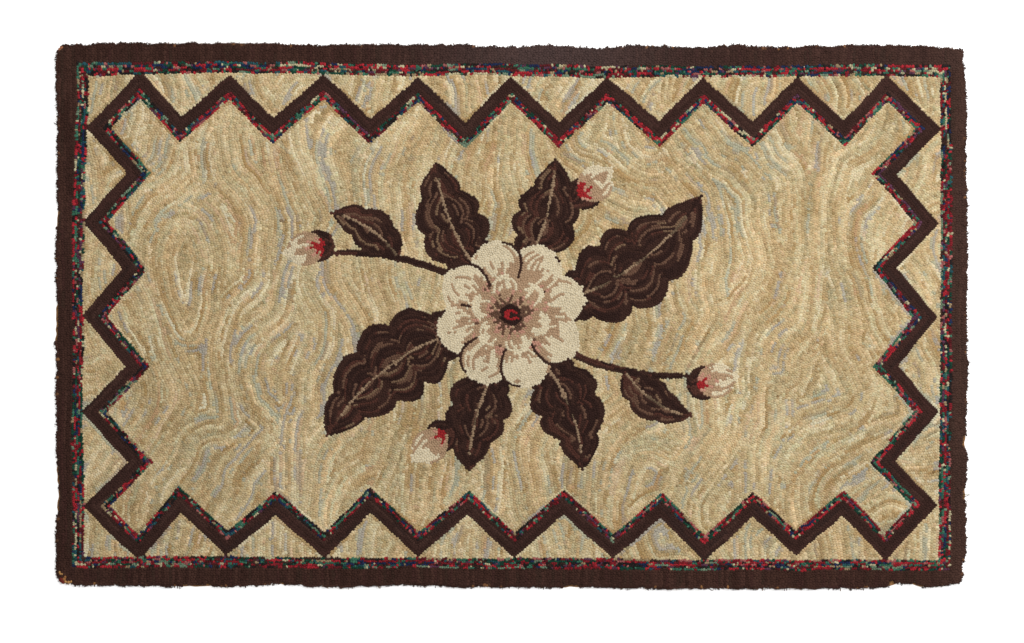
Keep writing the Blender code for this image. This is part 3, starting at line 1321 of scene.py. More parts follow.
@dataclass
class Pile:
    """All the loops of the rug, meeting each other in creases.

    The loops' middles and a ring of bare places are joined in Delaunay triangles. The middle of each
    triangle is a point of the crease where three loops meet, so a loop's own ground is the polygon of
    the middles round it. Two points side by side on its row, higher up, make its rounded back.
    """

    loops: Loops
    bare: Array
    seed: int = 97
    back_length: float = 0.26 * STITCH  # from a loop's middle to either end of its back
    crease_stray: float = 0.35 * MM
    top_stray: float = 0.25 * MM
    top_swell: float = 0.20 * MM
    swell_cell: float = 0.03
    back_stray: float = 0.12 * MM
    knee_out: float = 0.45 * MM
    knee_height: float = 0.45  # share of the way from the feet to the crease
    foot_in: float = 0.25 * MM

    def __post_init__(self) -> None:
        """Works out the creases, and which two of them end each side of a loop."""
        rng = np.random.default_rng(self.seed)
        place = np.vstack([self.loops.place, self.bare])
        self.count = len(self.loops.place)
        triangles = triangulate(place)
        at_rim = (triangles >= self.count).any(axis=1)
        crease = place[triangles].mean(axis=1)
        height = np.where(at_rim, RIM_HEIGHT, CREASE_HEIGHT)
        height += rng.uniform(-self.crease_stray, self.crease_stray, len(crease))
        self.crease = np.column_stack([crease, height])
        self.set_sides(triangles)
        self.set_backs(rng)

    def set_sides(self, triangles: Array) -> None:
        """Every side of every loop: its loop, the loop beyond it, and its two ends, anticlockwise."""
        start, end = triangles.ravel(), np.roll(triangles, -1, axis=1).ravel()
        left = np.repeat(np.arange(len(triangles)), 3)
        key = np.minimum(start, end).astype(np.int64) * (triangles.max() + 1) + np.maximum(start, end)
        order = np.argsort(key, kind="stable")
        paired = key[order][1:] == key[order][:-1]
        one, two = order[:-1][paired], order[1:][paired]
        owner = np.concatenate([start[one], start[two]])
        mine = owner < self.count
        self.owner = owner[mine]
        self.beyond = np.concatenate([end[one], end[two]])[mine]
        self.first = np.concatenate([left[two], left[one]])[mine]
        self.second = np.concatenate([left[one], left[two]])[mine]

    def set_backs(self, rng: Dice) -> None:
        """The two high points of each loop, a little apart along its row, some loops prouder."""
        heading = self.loops.heading + rng.normal(0, np.array(TURNED)[self.loops.zone])
        ahead = unit(heading)
        swell = Drift(self.swell_cell, self.seed + 1)(self.loops.place)
        top = PILE_TOP + self.top_stray * rng.standard_normal(self.count) + self.top_swell * swell
        middle = self.loops.place + rng.normal(0, self.back_stray, (self.count, 2))
        other_top = top + rng.normal(0, self.back_stray, self.count)
        self.ahead = ahead
        self.backs = np.stack([
            np.column_stack([middle + self.back_length * ahead, top]),
            np.column_stack([middle - self.back_length * ahead, other_top]),
        ], axis=1)

    def surface(self, mask: Array, low: Array, high: Array) -> tuple[Surface, Array]:
        """The closed mesh of some of the loops, and the creases in it that are sharp.

        Args:
            mask: Which loops it takes.
            low, high: Two opposite corners of the rug's box.

        Returns:
            The mesh, and rows of two point numbers, one for each edge between two loops.
        """
        chosen = np.flatnonzero(mask)
        number = np.full(self.count, -1)
        number[chosen] = np.arange(len(chosen))
        side = mask[self.owner]
        owner, beyond = self.owner[side], self.beyond[side]
        used, ends = np.unique(np.concatenate([self.first[side], self.second[side]]), return_inverse=True)
        first, second = ends[: side.sum()], ends[side.sum() :]
        backs = self.backs[chosen].reshape(-1, 3)
        creases = self.crease[used]
        middle, ahead = self.loops.place[owner], self.ahead[owner]
        back_first, back_second = (
            2 * number[owner] + (((creases[end, :2] - middle) * ahead).sum(axis=1) < 0)
            for end in (first, second)
        )
        base = len(backs)
        fans = np.column_stack([back_first, base + first, base + second])
        split = back_first != back_second
        gussets = np.column_stack([back_first, base + second, back_second])[split]
        open_side = ~np.append(mask, np.zeros(len(self.bare), bool))[beyond]
        rim = beyond >= self.count
        points = np.vstack([backs, creases])
        walls, feet, wall_owner = self.walls(points, base + first, base + second, owner, open_side, rim)
        points = np.vstack([points, feet])
        floor = self.floor(points, walls)
        triangles = np.vstack([fans, gussets, walls, floor])
        faces_owner = np.concatenate([owner, owner[split], wall_owner])
        underside = np.tile(linear(UNDERSIDE_COLOUR), (len(floor), 1))
        colour = np.vstack([self.loops.colour[faces_owner], underside])
        strand = self.strands(points, triangles, faces_owner)
        bake = bake_places(points, triangles, len(fans) + len(gussets), low, high)
        sharp = np.sort(np.column_stack([base + first, base + second])[~rim], axis=1)
        return Surface(points, triangles, colour, strand, bake), sharp

    def walls(
        self, points: Array, first: Array, second: Array, owner: Array, open_side: Array, rim: Array
    ) -> tuple[Array, Array, Array]:
        """The mesh's outer walls, from its outermost creases down to the burlap.

        Each crease point on the boundary gets a knee half way down and a foot below it. At the rug's
        rim the knee is pushed outward, so that the outer loops belly over the edge.

        Args:
            points: The mesh's points so far.
            first, second: The two ends of each side of its loops, as point numbers.
            owner: The loop whose side it is.
            open_side, rim: Whether the mesh ends at that side, and whether the whole rug does.

        Returns:
            The walls' triangles, their new points, and the loop that each triangle belongs to.
        """
        first, second, owner, rim = first[open_side], second[open_side], owner[open_side], rim[open_side]
        bound, ends = np.unique(np.concatenate([first, second]), return_inverse=True)
        a, b = ends[: len(first)], ends[len(first) :]
        outward = np.zeros((len(bound), 2))
        span = points[second, :2] - points[first, :2]
        normal = np.column_stack([span[:, 1], -span[:, 0]])
        normal /= np.maximum(np.linalg.norm(normal, axis=1), 1e-9)[:, None]
        at_rim = np.zeros(len(bound), bool)
        for end in (a, b):
            np.add.at(outward, end[rim], normal[rim])
            at_rim[end[rim]] = True
        outward /= np.maximum(np.linalg.norm(outward, axis=1), 1e-9)[:, None]
        knee = points[bound].copy()
        knee[:, :2] += outward * self.knee_out * at_rim[:, None]
        knee[:, 2] = self.knee_height * knee[:, 2] + (1 - self.knee_height) * PILE_FOOT
        foot = points[bound].copy()
        foot[:, :2] -= outward * self.foot_in * at_rim[:, None]
        foot[:, 2] = PILE_FOOT
        knees, feet = len(points), len(points) + len(bound)
        walls = np.vstack([
            np.column_stack([second, first, knees + a]),
            np.column_stack([second, knees + a, knees + b]),
            np.column_stack([knees + b, knees + a, feet + a]),
            np.column_stack([knees + b, feet + a, feet + b]),
        ])
        return walls, np.vstack([knee, foot]), np.tile(owner, 4)

    def floor(self, points: Array, walls: Array) -> Array:
        """The flat underside that closes the mesh, spanned between the walls' feet."""
        quarter = len(walls) // 4
        edges = walls[3 * quarter :][:, [1, 2]]
        feet, local = np.unique(edges, return_inverse=True)
        local = local.reshape(-1, 2)
        flat = [Vector(pair) for pair in points[feet, :2].tolist()]
        made = delaunay_2d_cdt(flat, local.tolist(), [], 0, 1e-8, True)
        source = np.array([found[0] if found else -1 for found in made[3]])
        faces = source[np.array(made[2])]
        faces = feet[faces[(faces >= 0).all(axis=1)]]
        a, b, c = np.moveaxis(points[faces, :2], 1, 0)
        covered = enclosed(points[edges[:, 0], :2], points[edges[:, 1], :2], (a + b + c) / 3)
        faces, a, b, c = faces[covered], a[covered], b[covered], c[covered]
        upward = cross(b - a, c - a) > 0
        faces[upward] = faces[upward][:, ::-1]
        return faces

    def strands(self, points: Array, triangles: Array, owner: Array) -> Array:
        """Where each corner lies on its own loop, in millimetres along and across its row."""
        place = np.zeros((len(triangles), 3, 2))
        made = len(owner)
        offset = (points[triangles[:made], :2] - self.loops.place[owner][:, None]) / MM
        ahead = self.ahead[owner][:, None]
        place[:made, :, 0] = (offset * ahead).sum(axis=2)
        place[:made, :, 1] = offset[:, :, 1] * ahead[:, :, 0] - offset[:, :, 0] * ahead[:, :, 1]
        return place


def bake_places(points: Array, triangles: Array, tops: int, low: Array, high: Array) -> Array:
    """Flat map places: the top as seen from above, the walls and underside in a strip below it.

    In the strip, a point's height moves it a little both ways, so that no wall folds onto a line.

    Args:
        points: The mesh's points.
        triangles: Its triangles, those of the top first.
        tops: How many belong to the top.
        low, high: Two opposite corners of the rug's box.

    Returns:
        A place from 0 to 1 for each corner of each triangle.
    """
    strip, gap = 0.03, 0.01
    share = (points[:, :2] - low[:2]) / (high[:2] - low[:2])
    place = share[triangles]
    place[:, :, 1] = strip + gap + (1 - strip - gap) * place[:, :, 1]
    under, height = share[triangles[tops:]], points[triangles[tops:], 2]
    under[:, :, 1] = strip * (0.1 + 0.8 * (0.8 * under[:, :, 1] + 25 * height))
    under[:, :, 0] = under[:, :, 0] * 0.98 + height
    place[tops:] = under
    return np.clip(place, 0, 1)


def object_of(name: str, data: bpy.types.ID) -> bpy.types.Object:
    """A new object in the scene, made from a mesh, a lamp or a camera's lens."""
    made = bpy.data.objects.new(name, data)
    bpy.context.scene.collection.objects.link(made)
    return made


def mesh_object(name: str, surface: Surface, sharp: Array | None = None) -> bpy.types.Object:
    """A Blender object from a finished surface, shaded smooth except along the sharp edges.

    Args:
        name: The object's name.
        surface: Its points, triangles and corner values.
        sharp: Rows of two point numbers, or None.

    Returns:
        The object, linked to the scene.
    """
    mesh = bpy.data.meshes.new(name)
    count = len(surface.triangles)
    mesh.vertices.add(len(surface.points))
    mesh.vertices.foreach_set("co", surface.points.astype(np.float32).ravel())
    mesh.loops.add(3 * count)
    mesh.loops.foreach_set("vertex_index", surface.triangles.astype(np.int32).ravel())
    mesh.polygons.add(count)
    mesh.polygons.foreach_set("loop_start", np.arange(0, 3 * count, 3, dtype=np.int32))
    mesh.update(calc_edges=True)
    colour = mesh.attributes.new(COLOUR_LAYER, "FLOAT_COLOR", "CORNER")
    rgba = np.ones((count, 3, 4), np.float32)
    rgba[:, :, :3] = surface.colour[:, None]
    colour.data.foreach_set("color", rgba.ravel())
    for layer, values in ((STRAND_LAYER, surface.strand), (BAKE_LAYER, surface.bake)):
        places = mesh.uv_layers.new(name=layer)
        places.data.foreach_set("uv", values.astype(np.float32).ravel())
    mesh.shade_smooth()
    if sharp is not None:
        ends = np.empty(2 * len(mesh.edges), np.int32)
        mesh.edges.foreach_get("vertices", ends)
        ends = np.sort(ends.reshape(-1, 2), axis=1).astype(np.int64)
        span = len(surface.points)
        creased = np.isin(ends[:, 0] * span + ends[:, 1], sharp[:, 0] * span + sharp[:, 1])
        mesh.attributes.new("sharp_edge", "BOOLEAN", "EDGE").data.foreach_set("value", creased)
    return object_of(name, mesh)


# ---- finishes


def feed(tree: Tree, node: Node, inputs: dict) -> Node:
    """A node after it gets some inputs, by name or number: sockets are linked, other values set."""
    for label, value in inputs.items():
        if isinstance(value, Socket):
            tree.links.new(value, node.inputs[label])
        else:
            node.inputs[label].default_value = value
    return node


def new_group(
    name: str, inputs: Sequence[tuple[str, str, object]], outputs: Sequence[tuple[str, str]]
) -> tuple[Tree, Node, Node]:
    """An empty shader node group with named sockets.

    Args:
        name: The group's name.
        inputs: Each input's name, socket type and default.
        outputs: Each output's name and socket type.

    Returns:
        The node tree, its input node and its output node.
    """
    tree = bpy.data.node_groups.new(name, "ShaderNodeTree")
    for label, kind, default in inputs:
        socket = tree.interface.new_socket(label, in_out="INPUT", socket_type=kind)
        socket.default_value = default
    for label, kind in outputs:
        tree.interface.new_socket(label, in_out="OUTPUT", socket_type=kind)
    return tree, tree.nodes.new("NodeGroupInput"), tree.nodes.new("NodeGroupOutput")


def new_material(name: str) -> tuple[bpy.types.Material, Tree, Node]:
    """A new material, its node tree and its shader."""
    made = bpy.data.materials.new(name)
    made.use_nodes = True
    return made, made.node_tree, made.node_tree.nodes["Principled BSDF"]


def maths(tree: Tree, operation: str, *values: object) -> Socket:
    """A Math node's result, from numbers or sockets."""
    node = tree.nodes.new("ShaderNodeMath")
    node.operation = operation
    return feed(tree, node, dict(enumerate(values))).outputs[0]


def noise(
    tree: Tree, vector: Socket, scale: float, detail: float
) -> Socket:
    """A Noise Texture's value over a vector, at so many waves a metre."""
    node = tree.nodes.new("ShaderNodeTexNoise")
    return feed(tree, node, {"Vector": vector, "Scale": scale, "Detail": detail}).outputs["Fac"]


def tinted(
    tree: Tree, colour: Socket, factor: Socket
) -> Socket:
    """A colour multiplied by a number."""
    node = tree.nodes.new("ShaderNodeVectorMath")
    node.operation = "SCALE"
    return feed(tree, node, {0: colour, "Scale": factor}).outputs[0]


def bumped(
    tree: Tree, height: Socket, distance_mm: float, strength: float
) -> Socket:
    """The normal of a surface that a height raises."""
    node = tree.nodes.new("ShaderNodeBump")
    inputs = {"Height": height, "Distance": distance_mm * MM, "Strength": strength}
    return feed(tree, node, inputs).outputs["Normal"]


def wool_group() -> Tree:
    """The grain of hooked wool: heathered fibres, plies across each loop, and a worn nap.

    The colour is multiplied by one plus two noises, fine for fibres and coarse for strips, and a wave
    across the strand, which is a painted shade: the colour is darker where the plies sit low. The
    height adds the fine noise to the wave. The roughness rises a little with the fibres.
    """
    tree, given, result = new_group(
        "Wool grain",
        [
            ("Colour", "NodeSocketColor", (0.5, 0.5, 0.5, 1)),
            ("Place", "NodeSocketVector", (0, 0, 0)),
            ("Strand", "NodeSocketVector", (0, 0, 0)),
            ("Heather", "NodeSocketFloat", 0.2),
            ("Ply", "NodeSocketFloat", 0.3),
            ("Roughness", "NodeSocketFloat", 0.9),
        ],
        [("Colour", "NodeSocketColor"), ("Roughness", "NodeSocketFloat"), ("Height", "NodeSocketFloat")],
    )
    fibres_a_metre, blotches_a_metre = 1500, 260
    ply_painted_shade, fibre_roughness = 0.3, 0.12
    fibre = noise(tree, given.outputs["Place"], fibres_a_metre, 3)
    blotch = noise(tree, given.outputs["Place"], blotches_a_metre, 2)
    wave = tree.nodes.new("ShaderNodeTexWave")
    wave.bands_direction = "X"
    feed(tree, wave, {"Vector": given.outputs["Strand"], "Scale": 0.42, "Distortion": 2.0})
    plies = wave.outputs["Fac"]
    about_fibre, about_blotch, about_ply = (
        maths(tree, "SUBTRACT", value, 0.5) for value in (fibre, blotch, plies)
    )
    spread = maths(tree, "ADD", about_fibre, about_blotch)
    heathered = maths(tree, "ADD", maths(tree, "MULTIPLY", spread, given.outputs["Heather"]), 1.0)
    # painted shade: the ply wave darkens the colour in the grooves between plies
    tint = maths(tree, "MULTIPLY", about_ply, maths(tree, "MULTIPLY", given.outputs["Ply"], ply_painted_shade))
    factor = maths(tree, "ADD", heathered, tint)
    ply = maths(tree, "MULTIPLY", plies, given.outputs["Ply"])
    feed(tree, result, {
        "Colour": tinted(tree, given.outputs["Colour"], factor),
        "Height": maths(tree, "ADD", fibre, ply),
        "Roughness": maths(
            tree, "MULTIPLY_ADD", about_fibre, fibre_roughness, given.outputs["Roughness"]
        ),
    })
    return tree


@dataclass(frozen=True)
class WoolFinish:
    """Hooked wool whose colour comes from each loop."""

    name: str
    heather: float = 0.35
    ply: float = 0.35
    roughness: float = 0.92
    sheen: float = 0.02
    bump_mm: float = 0.25

    def material(self, group: Tree) -> bpy.types.Material:
        """The finish as a material around the shared wool grain."""
        made, tree, shader = new_material(self.name)
        colour = tree.nodes.new("ShaderNodeAttribute")
        colour.attribute_name = COLOUR_LAYER
        strand = tree.nodes.new("ShaderNodeUVMap")
        strand.uv_map = STRAND_LAYER
        grain = tree.nodes.new("ShaderNodeGroup")
        grain.node_tree = group
        feed(tree, grain, {
            "Colour": colour.outputs["Color"],
            "Place": tree.nodes.new("ShaderNodeTexCoord").outputs["Object"],
            "Strand": strand.outputs["UV"],
            "Heather": self.heather,
            "Ply": self.ply,
            "Roughness": self.roughness,
        })
        feed(tree, shader, {
            "Base Color": grain.outputs["Colour"],
            "Roughness": grain.outputs["Roughness"],
            "Normal": bumped(tree, grain.outputs["Height"], self.bump_mm, strength=0.6),
            "Specular IOR Level": 0.04,
            "Sheen Weight": self.sheen,
            "Sheen Roughness": 0.6,
        })
        return made


def weave_group() -> Tree:
    """Plain-woven jute: two crossed sets of threads, one over the other in turn, uneven in thickness.

    Each set is a sine across its threads. A checker of the two picks which set is on top, and a noise
    thickens and darkens single threads. The colour is darker where the threads are low, a painted shade.
    """
    tree, given, result = new_group(
        "Jute weave",
        [
            ("Colour", "NodeSocketColor", (0.4, 0.25, 0.12, 1)),
            ("Place", "NodeSocketVector", (0, 0, 0)),
            ("Threads per metre", "NodeSocketFloat", 520.0),
        ],
        [("Colour", "NodeSocketColor"), ("Height", "NodeSocketFloat")],
    )
    parts = tree.nodes.new("ShaderNodeSeparateXYZ")
    tree.links.new(given.outputs["Place"], parts.inputs[0])
    turns = maths(tree, "MULTIPLY", given.outputs["Threads per metre"], float(np.pi))
    waves = [maths(tree, "SINE", maths(tree, "MULTIPLY", parts.outputs[axis], turns)) for axis in (0, 1)]
    warp, weft = (maths(tree, "ABSOLUTE", wave) for wave in waves)
    over = maths(tree, "GREATER_THAN", maths(tree, "MULTIPLY", waves[0], waves[1]), 0.0)
    under = maths(tree, "SUBTRACT", 1.0, over)
    height = maths(tree, "ADD", maths(tree, "MULTIPLY", warp, over), maths(tree, "MULTIPLY", weft, under))
    slubs_a_metre, slub_height = 190, 0.5
    slub = noise(tree, given.outputs["Place"], slubs_a_metre, 3)
    height = maths(tree, "MULTIPLY_ADD", slub, slub_height, height)
    # painted shade: threads that dip under the weave are drawn less than half as light
    shade = maths(tree, "MULTIPLY_ADD", height, 0.45, 0.45)  # low threads are less than half as light
    feed(tree, result, {"Colour": tinted(tree, given.outputs["Colour"], shade), "Height": height})
    return tree


@dataclass(frozen=True)
class BurlapFinish:
    """Old jute burlap."""

    name: str = "Old burlap"
    colour: Rgb = (164, 120, 78)
    bump_mm: float = 0.5

    def material(self, group: Tree) -> bpy.types.Material:
        """The finish as a material around the shared weave."""
        made, tree, shader = new_material(self.name)
        weave = tree.nodes.new("ShaderNodeGroup")
        weave.node_tree = group
        feed(tree, weave, {
            "Colour": (*linear(self.colour), 1),
            "Place": tree.nodes.new("ShaderNodeTexCoord").outputs["Object"],
        })
        feed(tree, shader, {
            "Base Color": weave.outputs["Colour"],
            "Normal": bumped(tree, weave.outputs["Height"], self.bump_mm, strength=1.0),
            "Roughness": 0.95,
            "Specular IOR Level": 0.15,
        })
        return made


# ---- foundation


@dataclass(frozen=True)
class Foundation:
    """The burlap that the loops are pulled through: a thin flat slab of the rug's outline."""

    inset: float = 0.9 * MM

    def build(self, outline: Array) -> bpy.types.Object:
        """The slab, its top and underside each one face, with a wall between."""
        rim = moved_in(outline, self.inset)
        count = len(rim)
        low = np.column_stack([rim, np.zeros(count)])
        high = np.column_stack([rim, np.full(count, BURLAP_THICKNESS)])
        number = np.arange(count)
        after = np.roll(number, -1)
        walls = np.column_stack([number, after, after + count, number + count])
        mesh = bpy.data.meshes.new("burlap_foundation")
        faces = [number[::-1].tolist(), (number + count).tolist(), *walls.tolist()]
        mesh.from_pydata(np.vstack([low, high]).tolist(), [], faces)
        return object_of("burlap_foundation", mesh)


class Thread(NamedTuple):
    """A loose thread at the rim, rooted at a place and headed so many degrees from +X."""

    x_mm: float
    y_mm: float
    heading: float
    length_mm: float
    bend: float  # degrees turned from root to tip
    radius_mm: float
    colour: Rgb


LOOSE_THREADS = (
    Thread(-606, 272, 206, 22, 26, 0.16, (206, 190, 160)),
    Thread(-606, 270, 214, 15, -20, 0.12, (190, 170, 138)),
    Thread(-603, 351, 190, 9, 30, 0.25, (60, 42, 34)),
    Thread(-604, 345, 200, 10, -30, 0.22, (48, 34, 30)),
    Thread(-603, 332, 160, 8, -40, 0.22, (50, 36, 30)),
    Thread(-605, 281, 150, 8, 50, 0.30, (50, 36, 30)),
    Thread(605, -176, 14, 13, 30, 0.16, (214, 200, 176)),
    Thread(604, -204, 20, 9, -50, 0.45, (52, 42, 34)),
    Thread(604, -208, -8, 8, 40, 0.50, (62, 46, 36)),
    Thread(603, -212, -30, 7, 30, 0.45, (48, 38, 32)),
    Thread(604, -240, 14, 11, -40, 0.40, (120, 112, 50)),
    Thread(604, -243, 4, 10, 30, 0.50, (56, 46, 36)),
    Thread(603, -247, -26, 9, 45, 0.55, (46, 40, 34)),
    Thread(602, -262, -58, 15, -35, 0.25, (52, 38, 32)),
    Thread(600, -280, -66, 18, -30, 0.22, (48, 36, 30)),
    Thread(503, -356, -78, 9, 40, 0.50, (46, 40, 36)),
    Thread(506, -356, -62, 8, -50, 0.55, (54, 44, 36)),
    Thread(499, -356, -112, 8, 60, 0.45, (60, 50, 40)),
    Thread(-600, -350, 236, 8, 40, 0.20, (168, 118, 66)),
    Thread(-593, -356, 250, 7, -40, 0.20, (150, 104, 60)),
)


def tubes(path: Array, radius: Array, colour: Array, tip: Array, sides: int = 4) -> Surface:
    """Closed tubes along many paths of equal count, as one surface.

    Each point of a path gets a ring about it, in the plane of up and the path's own left, that
    narrows evenly to the tip. A fan of triangles closes each end.

    Args:
        path: Points, by thread, place along it, and axis.
        radius: Each thread's radius at its root.
        colour: Each thread's colour.
        tip: Each thread's radius at its tip, as a share of that at its root.
        sides: How many sides a ring has.

    Returns:
        The surface, with no useful strand places.
    """
    threads, steps = path.shape[:2]
    ahead = np.gradient(path, axis=1)
    ahead /= np.linalg.norm(ahead, axis=2, keepdims=True)
    left = np.stack([-ahead[..., 1], ahead[..., 0], np.zeros((threads, steps))], axis=2)
    left /= np.linalg.norm(left, axis=2, keepdims=True)
    up = np.cross(ahead, left)
    turn = 2 * np.pi * np.arange(sides) / sides
    taper = radius[:, None] * (1 + (tip[:, None] - 1) * np.linspace(0, 1, steps))
    ring = left[:, :, None] * np.cos(turn)[:, None] + up[:, :, None] * np.sin(turn)[:, None]
    points = (path[:, :, None] + ring * taper[:, :, None, None]).reshape(-1, 3)
    first = (np.arange(threads)[:, None] * steps + np.arange(steps - 1)).reshape(-1, 1) * sides
    here, after = np.arange(sides), (np.arange(sides) + 1) % sides
    a, b, c, d = first + here, first + after, first + sides + here, first + sides + after
    skin = np.vstack([np.stack(corners, axis=-1).reshape(-1, 3) for corners in ((a, b, d), (a, d, c))])
    fan = np.column_stack([np.zeros(sides - 2, int), np.arange(2, sides), np.arange(1, sides - 1)])
    roots = (np.arange(threads) * steps * sides)[:, None, None] + fan
    tips = (np.arange(threads) * steps * sides + (steps - 1) * sides)[:, None, None] + fan[:, ::-1]
    triangles = np.vstack([skin, roots.reshape(-1, 3), tips.reshape(-1, 3)])
    owner = triangles[:, 0] // (steps * sides)
    strand = np.zeros((len(triangles), 3, 2))
    return Surface(points, triangles, colour[owner], strand, strand)


class Fluff(NamedTuple):
    """One kind of fluff at the rim, and how it varies."""

    shortest_mm: float
    longer_mm: float  # on average, past the shortest
    thinnest_mm: float  # radius
    thickest_mm: float
    spread: float  # radians off straight out
    curl: float  # radians from root to tip
    pale: float  # share of pale ones
    tip: float  # radius there, as a share of that at the root


WOOL_ENDS = Fluff(2.0, 0.45, 0.4, 0.8, spread=0.7, curl=0.4, pale=0.08, tip=0.8)
HAIRS = Fluff(3.2, 1.8, 0.08, 0.14, spread=0.8, curl=1.0, pale=0.30, tip=0.35)


@dataclass(frozen=True)
class Fuzz:
    """Ends of wool and single hairs that stand off the rim, and its loose threads."""

    ends: int = 2300
    hairs: int = 700
    steps: int = 5
    step: float = 0.9 * MM  # between places round the rim where one can stand
    root_depth: float = 1.4 * MM
    lowest: float = 1.6 * MM
    highest: float = 6.2 * MM
    thread_height: float = 3.5 * MM
    thread_tip: float = 0.6
    sag: float = 0.45  # how far a tip sinks, as a share of the length
    least_height: float = 0.8 * MM
    seed: int = 131
    dark: Rgb = (56, 38, 32)
    pale: Rgb = (118, 88, 62)

    def surface(self, rim: Array) -> Surface:
        """All of them as one closed surface for each, with none where the rim is worn."""
        rng = np.random.default_rng(self.seed)
        count = self.ends + self.hairs
        hair = np.arange(count) >= self.ends
        walked = walk(rim, self.step, closed=True)
        whole = np.flatnonzero(~worn(walked.place))
        chosen = whole[rng.integers(0, len(whole), count)]
        outward = walked.heading[chosen] - np.pi / 2
        root = walked.place[chosen] - self.root_depth * unit(outward)
        heading = outward + rng.normal(0, np.where(hair, HAIRS.spread, WOOL_ENDS.spread))
        hair_length, end_length = (
            kind.shortest_mm + rng.exponential(kind.longer_mm, count) for kind in (HAIRS, WOOL_ENDS)
        )
        length = MM * np.where(hair, hair_length, end_length)
        hair_radius, end_radius = (
            rng.uniform(kind.thinnest_mm, kind.thickest_mm, count) for kind in (HAIRS, WOOL_ENDS)
        )
        radius = MM * np.where(hair, hair_radius, end_radius)
        bend = rng.normal(0, np.where(hair, HAIRS.curl, WOOL_ENDS.curl))
        height = rng.uniform(self.lowest, self.highest, count)
        pale = (rng.random(count) < np.where(hair, HAIRS.pale, WOOL_ENDS.pale))[:, None]
        colour = np.where(pale, linear(self.pale), linear(self.dark)) * rng.uniform(0.7, 1.3, (count, 1))
        tip = np.where(hair, HAIRS.tip, WOOL_ENDS.tip)
        loose = LOOSE_THREADS
        root = np.vstack([root, [(MM * thread.x_mm, MM * thread.y_mm) for thread in loose]])
        heading = np.append(heading, [np.radians(thread.heading) for thread in loose])
        length = np.append(length, [MM * thread.length_mm for thread in loose])
        bend = np.append(bend, [np.radians(thread.bend) for thread in loose])
        radius = np.append(radius, [MM * thread.radius_mm for thread in loose])
        height = np.append(height, [self.thread_height] * len(loose))
        colour = np.vstack([colour, [linear(thread.colour) for thread in loose]])
        tip = np.append(tip, [self.thread_tip] * len(loose))
        return tubes(self.paths(root, heading, length, bend, height), radius, colour, tip)

    def paths(self, root: Array, heading: Array, length: Array, bend: Array, height: Array) -> Array:
        """Arcs that turn evenly from root to tip and sink towards the floor as a square of the way."""
        share = np.linspace(0, 1, self.steps)
        turn = heading[:, None] + bend[:, None] * share
        leg = length[:, None] / (self.steps - 1)
        x = root[:, :1] + np.cumsum(np.cos(turn) * leg, axis=1)
        y = root[:, 1:] + np.cumsum(np.sin(turn) * leg, axis=1)
        sunk = np.minimum(self.sag * length, height - self.least_height)
        return np.stack([x, y, height[:, None] - sunk[:, None] * share**2], axis=2)


# ---- studio


@dataclass(frozen=True)
class Studio:
    """A pale floor, soft light from above, and a camera looking straight down."""

    lens: float = 100.0
    sensor: float = 36.0
    view_width: float = 1.3721  # of the floor, across the picture
    aim: tuple[float, float] = (0.0013, -0.0074)
    floor_half: float = 6.0
    floor_shade: float = 0.93
    floor_glow: float = 0.45
    sky_strength: float = 0.61
    lamp_size: float = 2.0
    lamp_power: float = 91
    lamp_place: tuple[float, float, float] = (1.3, 1.5, 2.6)

    def build(self) -> None:
        """Makes all of it."""
        self.floor()
        self.lights()
        self.camera()

    def floor(self) -> None:
        """A square floor just under the rug."""
        half = self.floor_half
        mesh = bpy.data.meshes.new("studio_floor")
        corners = [(-half, -half, 0), (half, -half, 0), (half, half, 0), (-half, half, 0)]
        mesh.from_pydata(corners, [], [(0, 1, 2, 3)])
        paper, tree, shader = new_material("Pale paper")
        feed(tree, shader, {
            "Base Color": (self.floor_shade,) * 3 + (1,),
            "Roughness": 1.0,
            "Specular IOR Level": 0.0,
            "Emission Color": (1, 1, 1, 1),
            "Emission Strength": self.floor_glow,
        })
        mesh.materials.append(paper)
        object_of("studio_floor", mesh)

    def lights(self) -> None:
        """An even white sky, and one broad lamp above and behind to the right."""
        world = bpy.data.worlds.new("Soft studio")
        world.use_nodes = True
        sky = world.node_tree.nodes["Background"]
        feed(world.node_tree, sky, {"Color": (1, 1, 1, 1), "Strength": self.sky_strength})
        bpy.context.scene.world = world
        lamp = bpy.data.lights.new("key", "AREA")
        lamp.size = self.lamp_size
        lamp.energy = self.lamp_power
        key = object_of("key", lamp)
        key.location = self.lamp_place
        key.rotation_euler = key.location.to_track_quat("Z", "Y").to_euler()

    def camera(self) -> None:
        """The camera, as far up as its lens needs for the view's width."""
        lens = bpy.data.cameras.new("camera")
        lens.lens = self.lens
        lens.sensor_width = self.sensor
        camera = object_of("camera", lens)
        camera.location = (*self.aim, self.view_width * self.lens / self.sensor + PILE_TOP)
        bpy.context.scene.camera = camera
        bpy.context.scene.view_settings.view_transform = "Standard"


# ---- rug


class PiecePlan(NamedTuple):
    """One piece of pile: its name, zone and finish, and the stretch of X that it covers."""

    name: str
    zone: Zone
    finish: WoolFinish
    from_x: float = -np.inf
    to_x: float = np.inf


BORDER_WOOL = WoolFinish("Border wool", heather=0.45, ply=0.5)
TWEED_WOOL = WoolFinish("Tweed scraps", heather=0.40, ply=0.45)
BAND_WOOL = WoolFinish("Zigzag wool", heather=0.40, ply=0.5)
GROUND_WOOL = WoolFinish("Ground wool", heather=0.32, ply=0.35)
LEAF_WOOL = WoolFinish("Leaf wool", heather=0.40, ply=0.5)
PETAL_WOOL = WoolFinish("Petal wool", heather=0.28, ply=0.35)

GROUND_CUT = 0.19  # the ground is cut into three pieces here, on either side of the middle

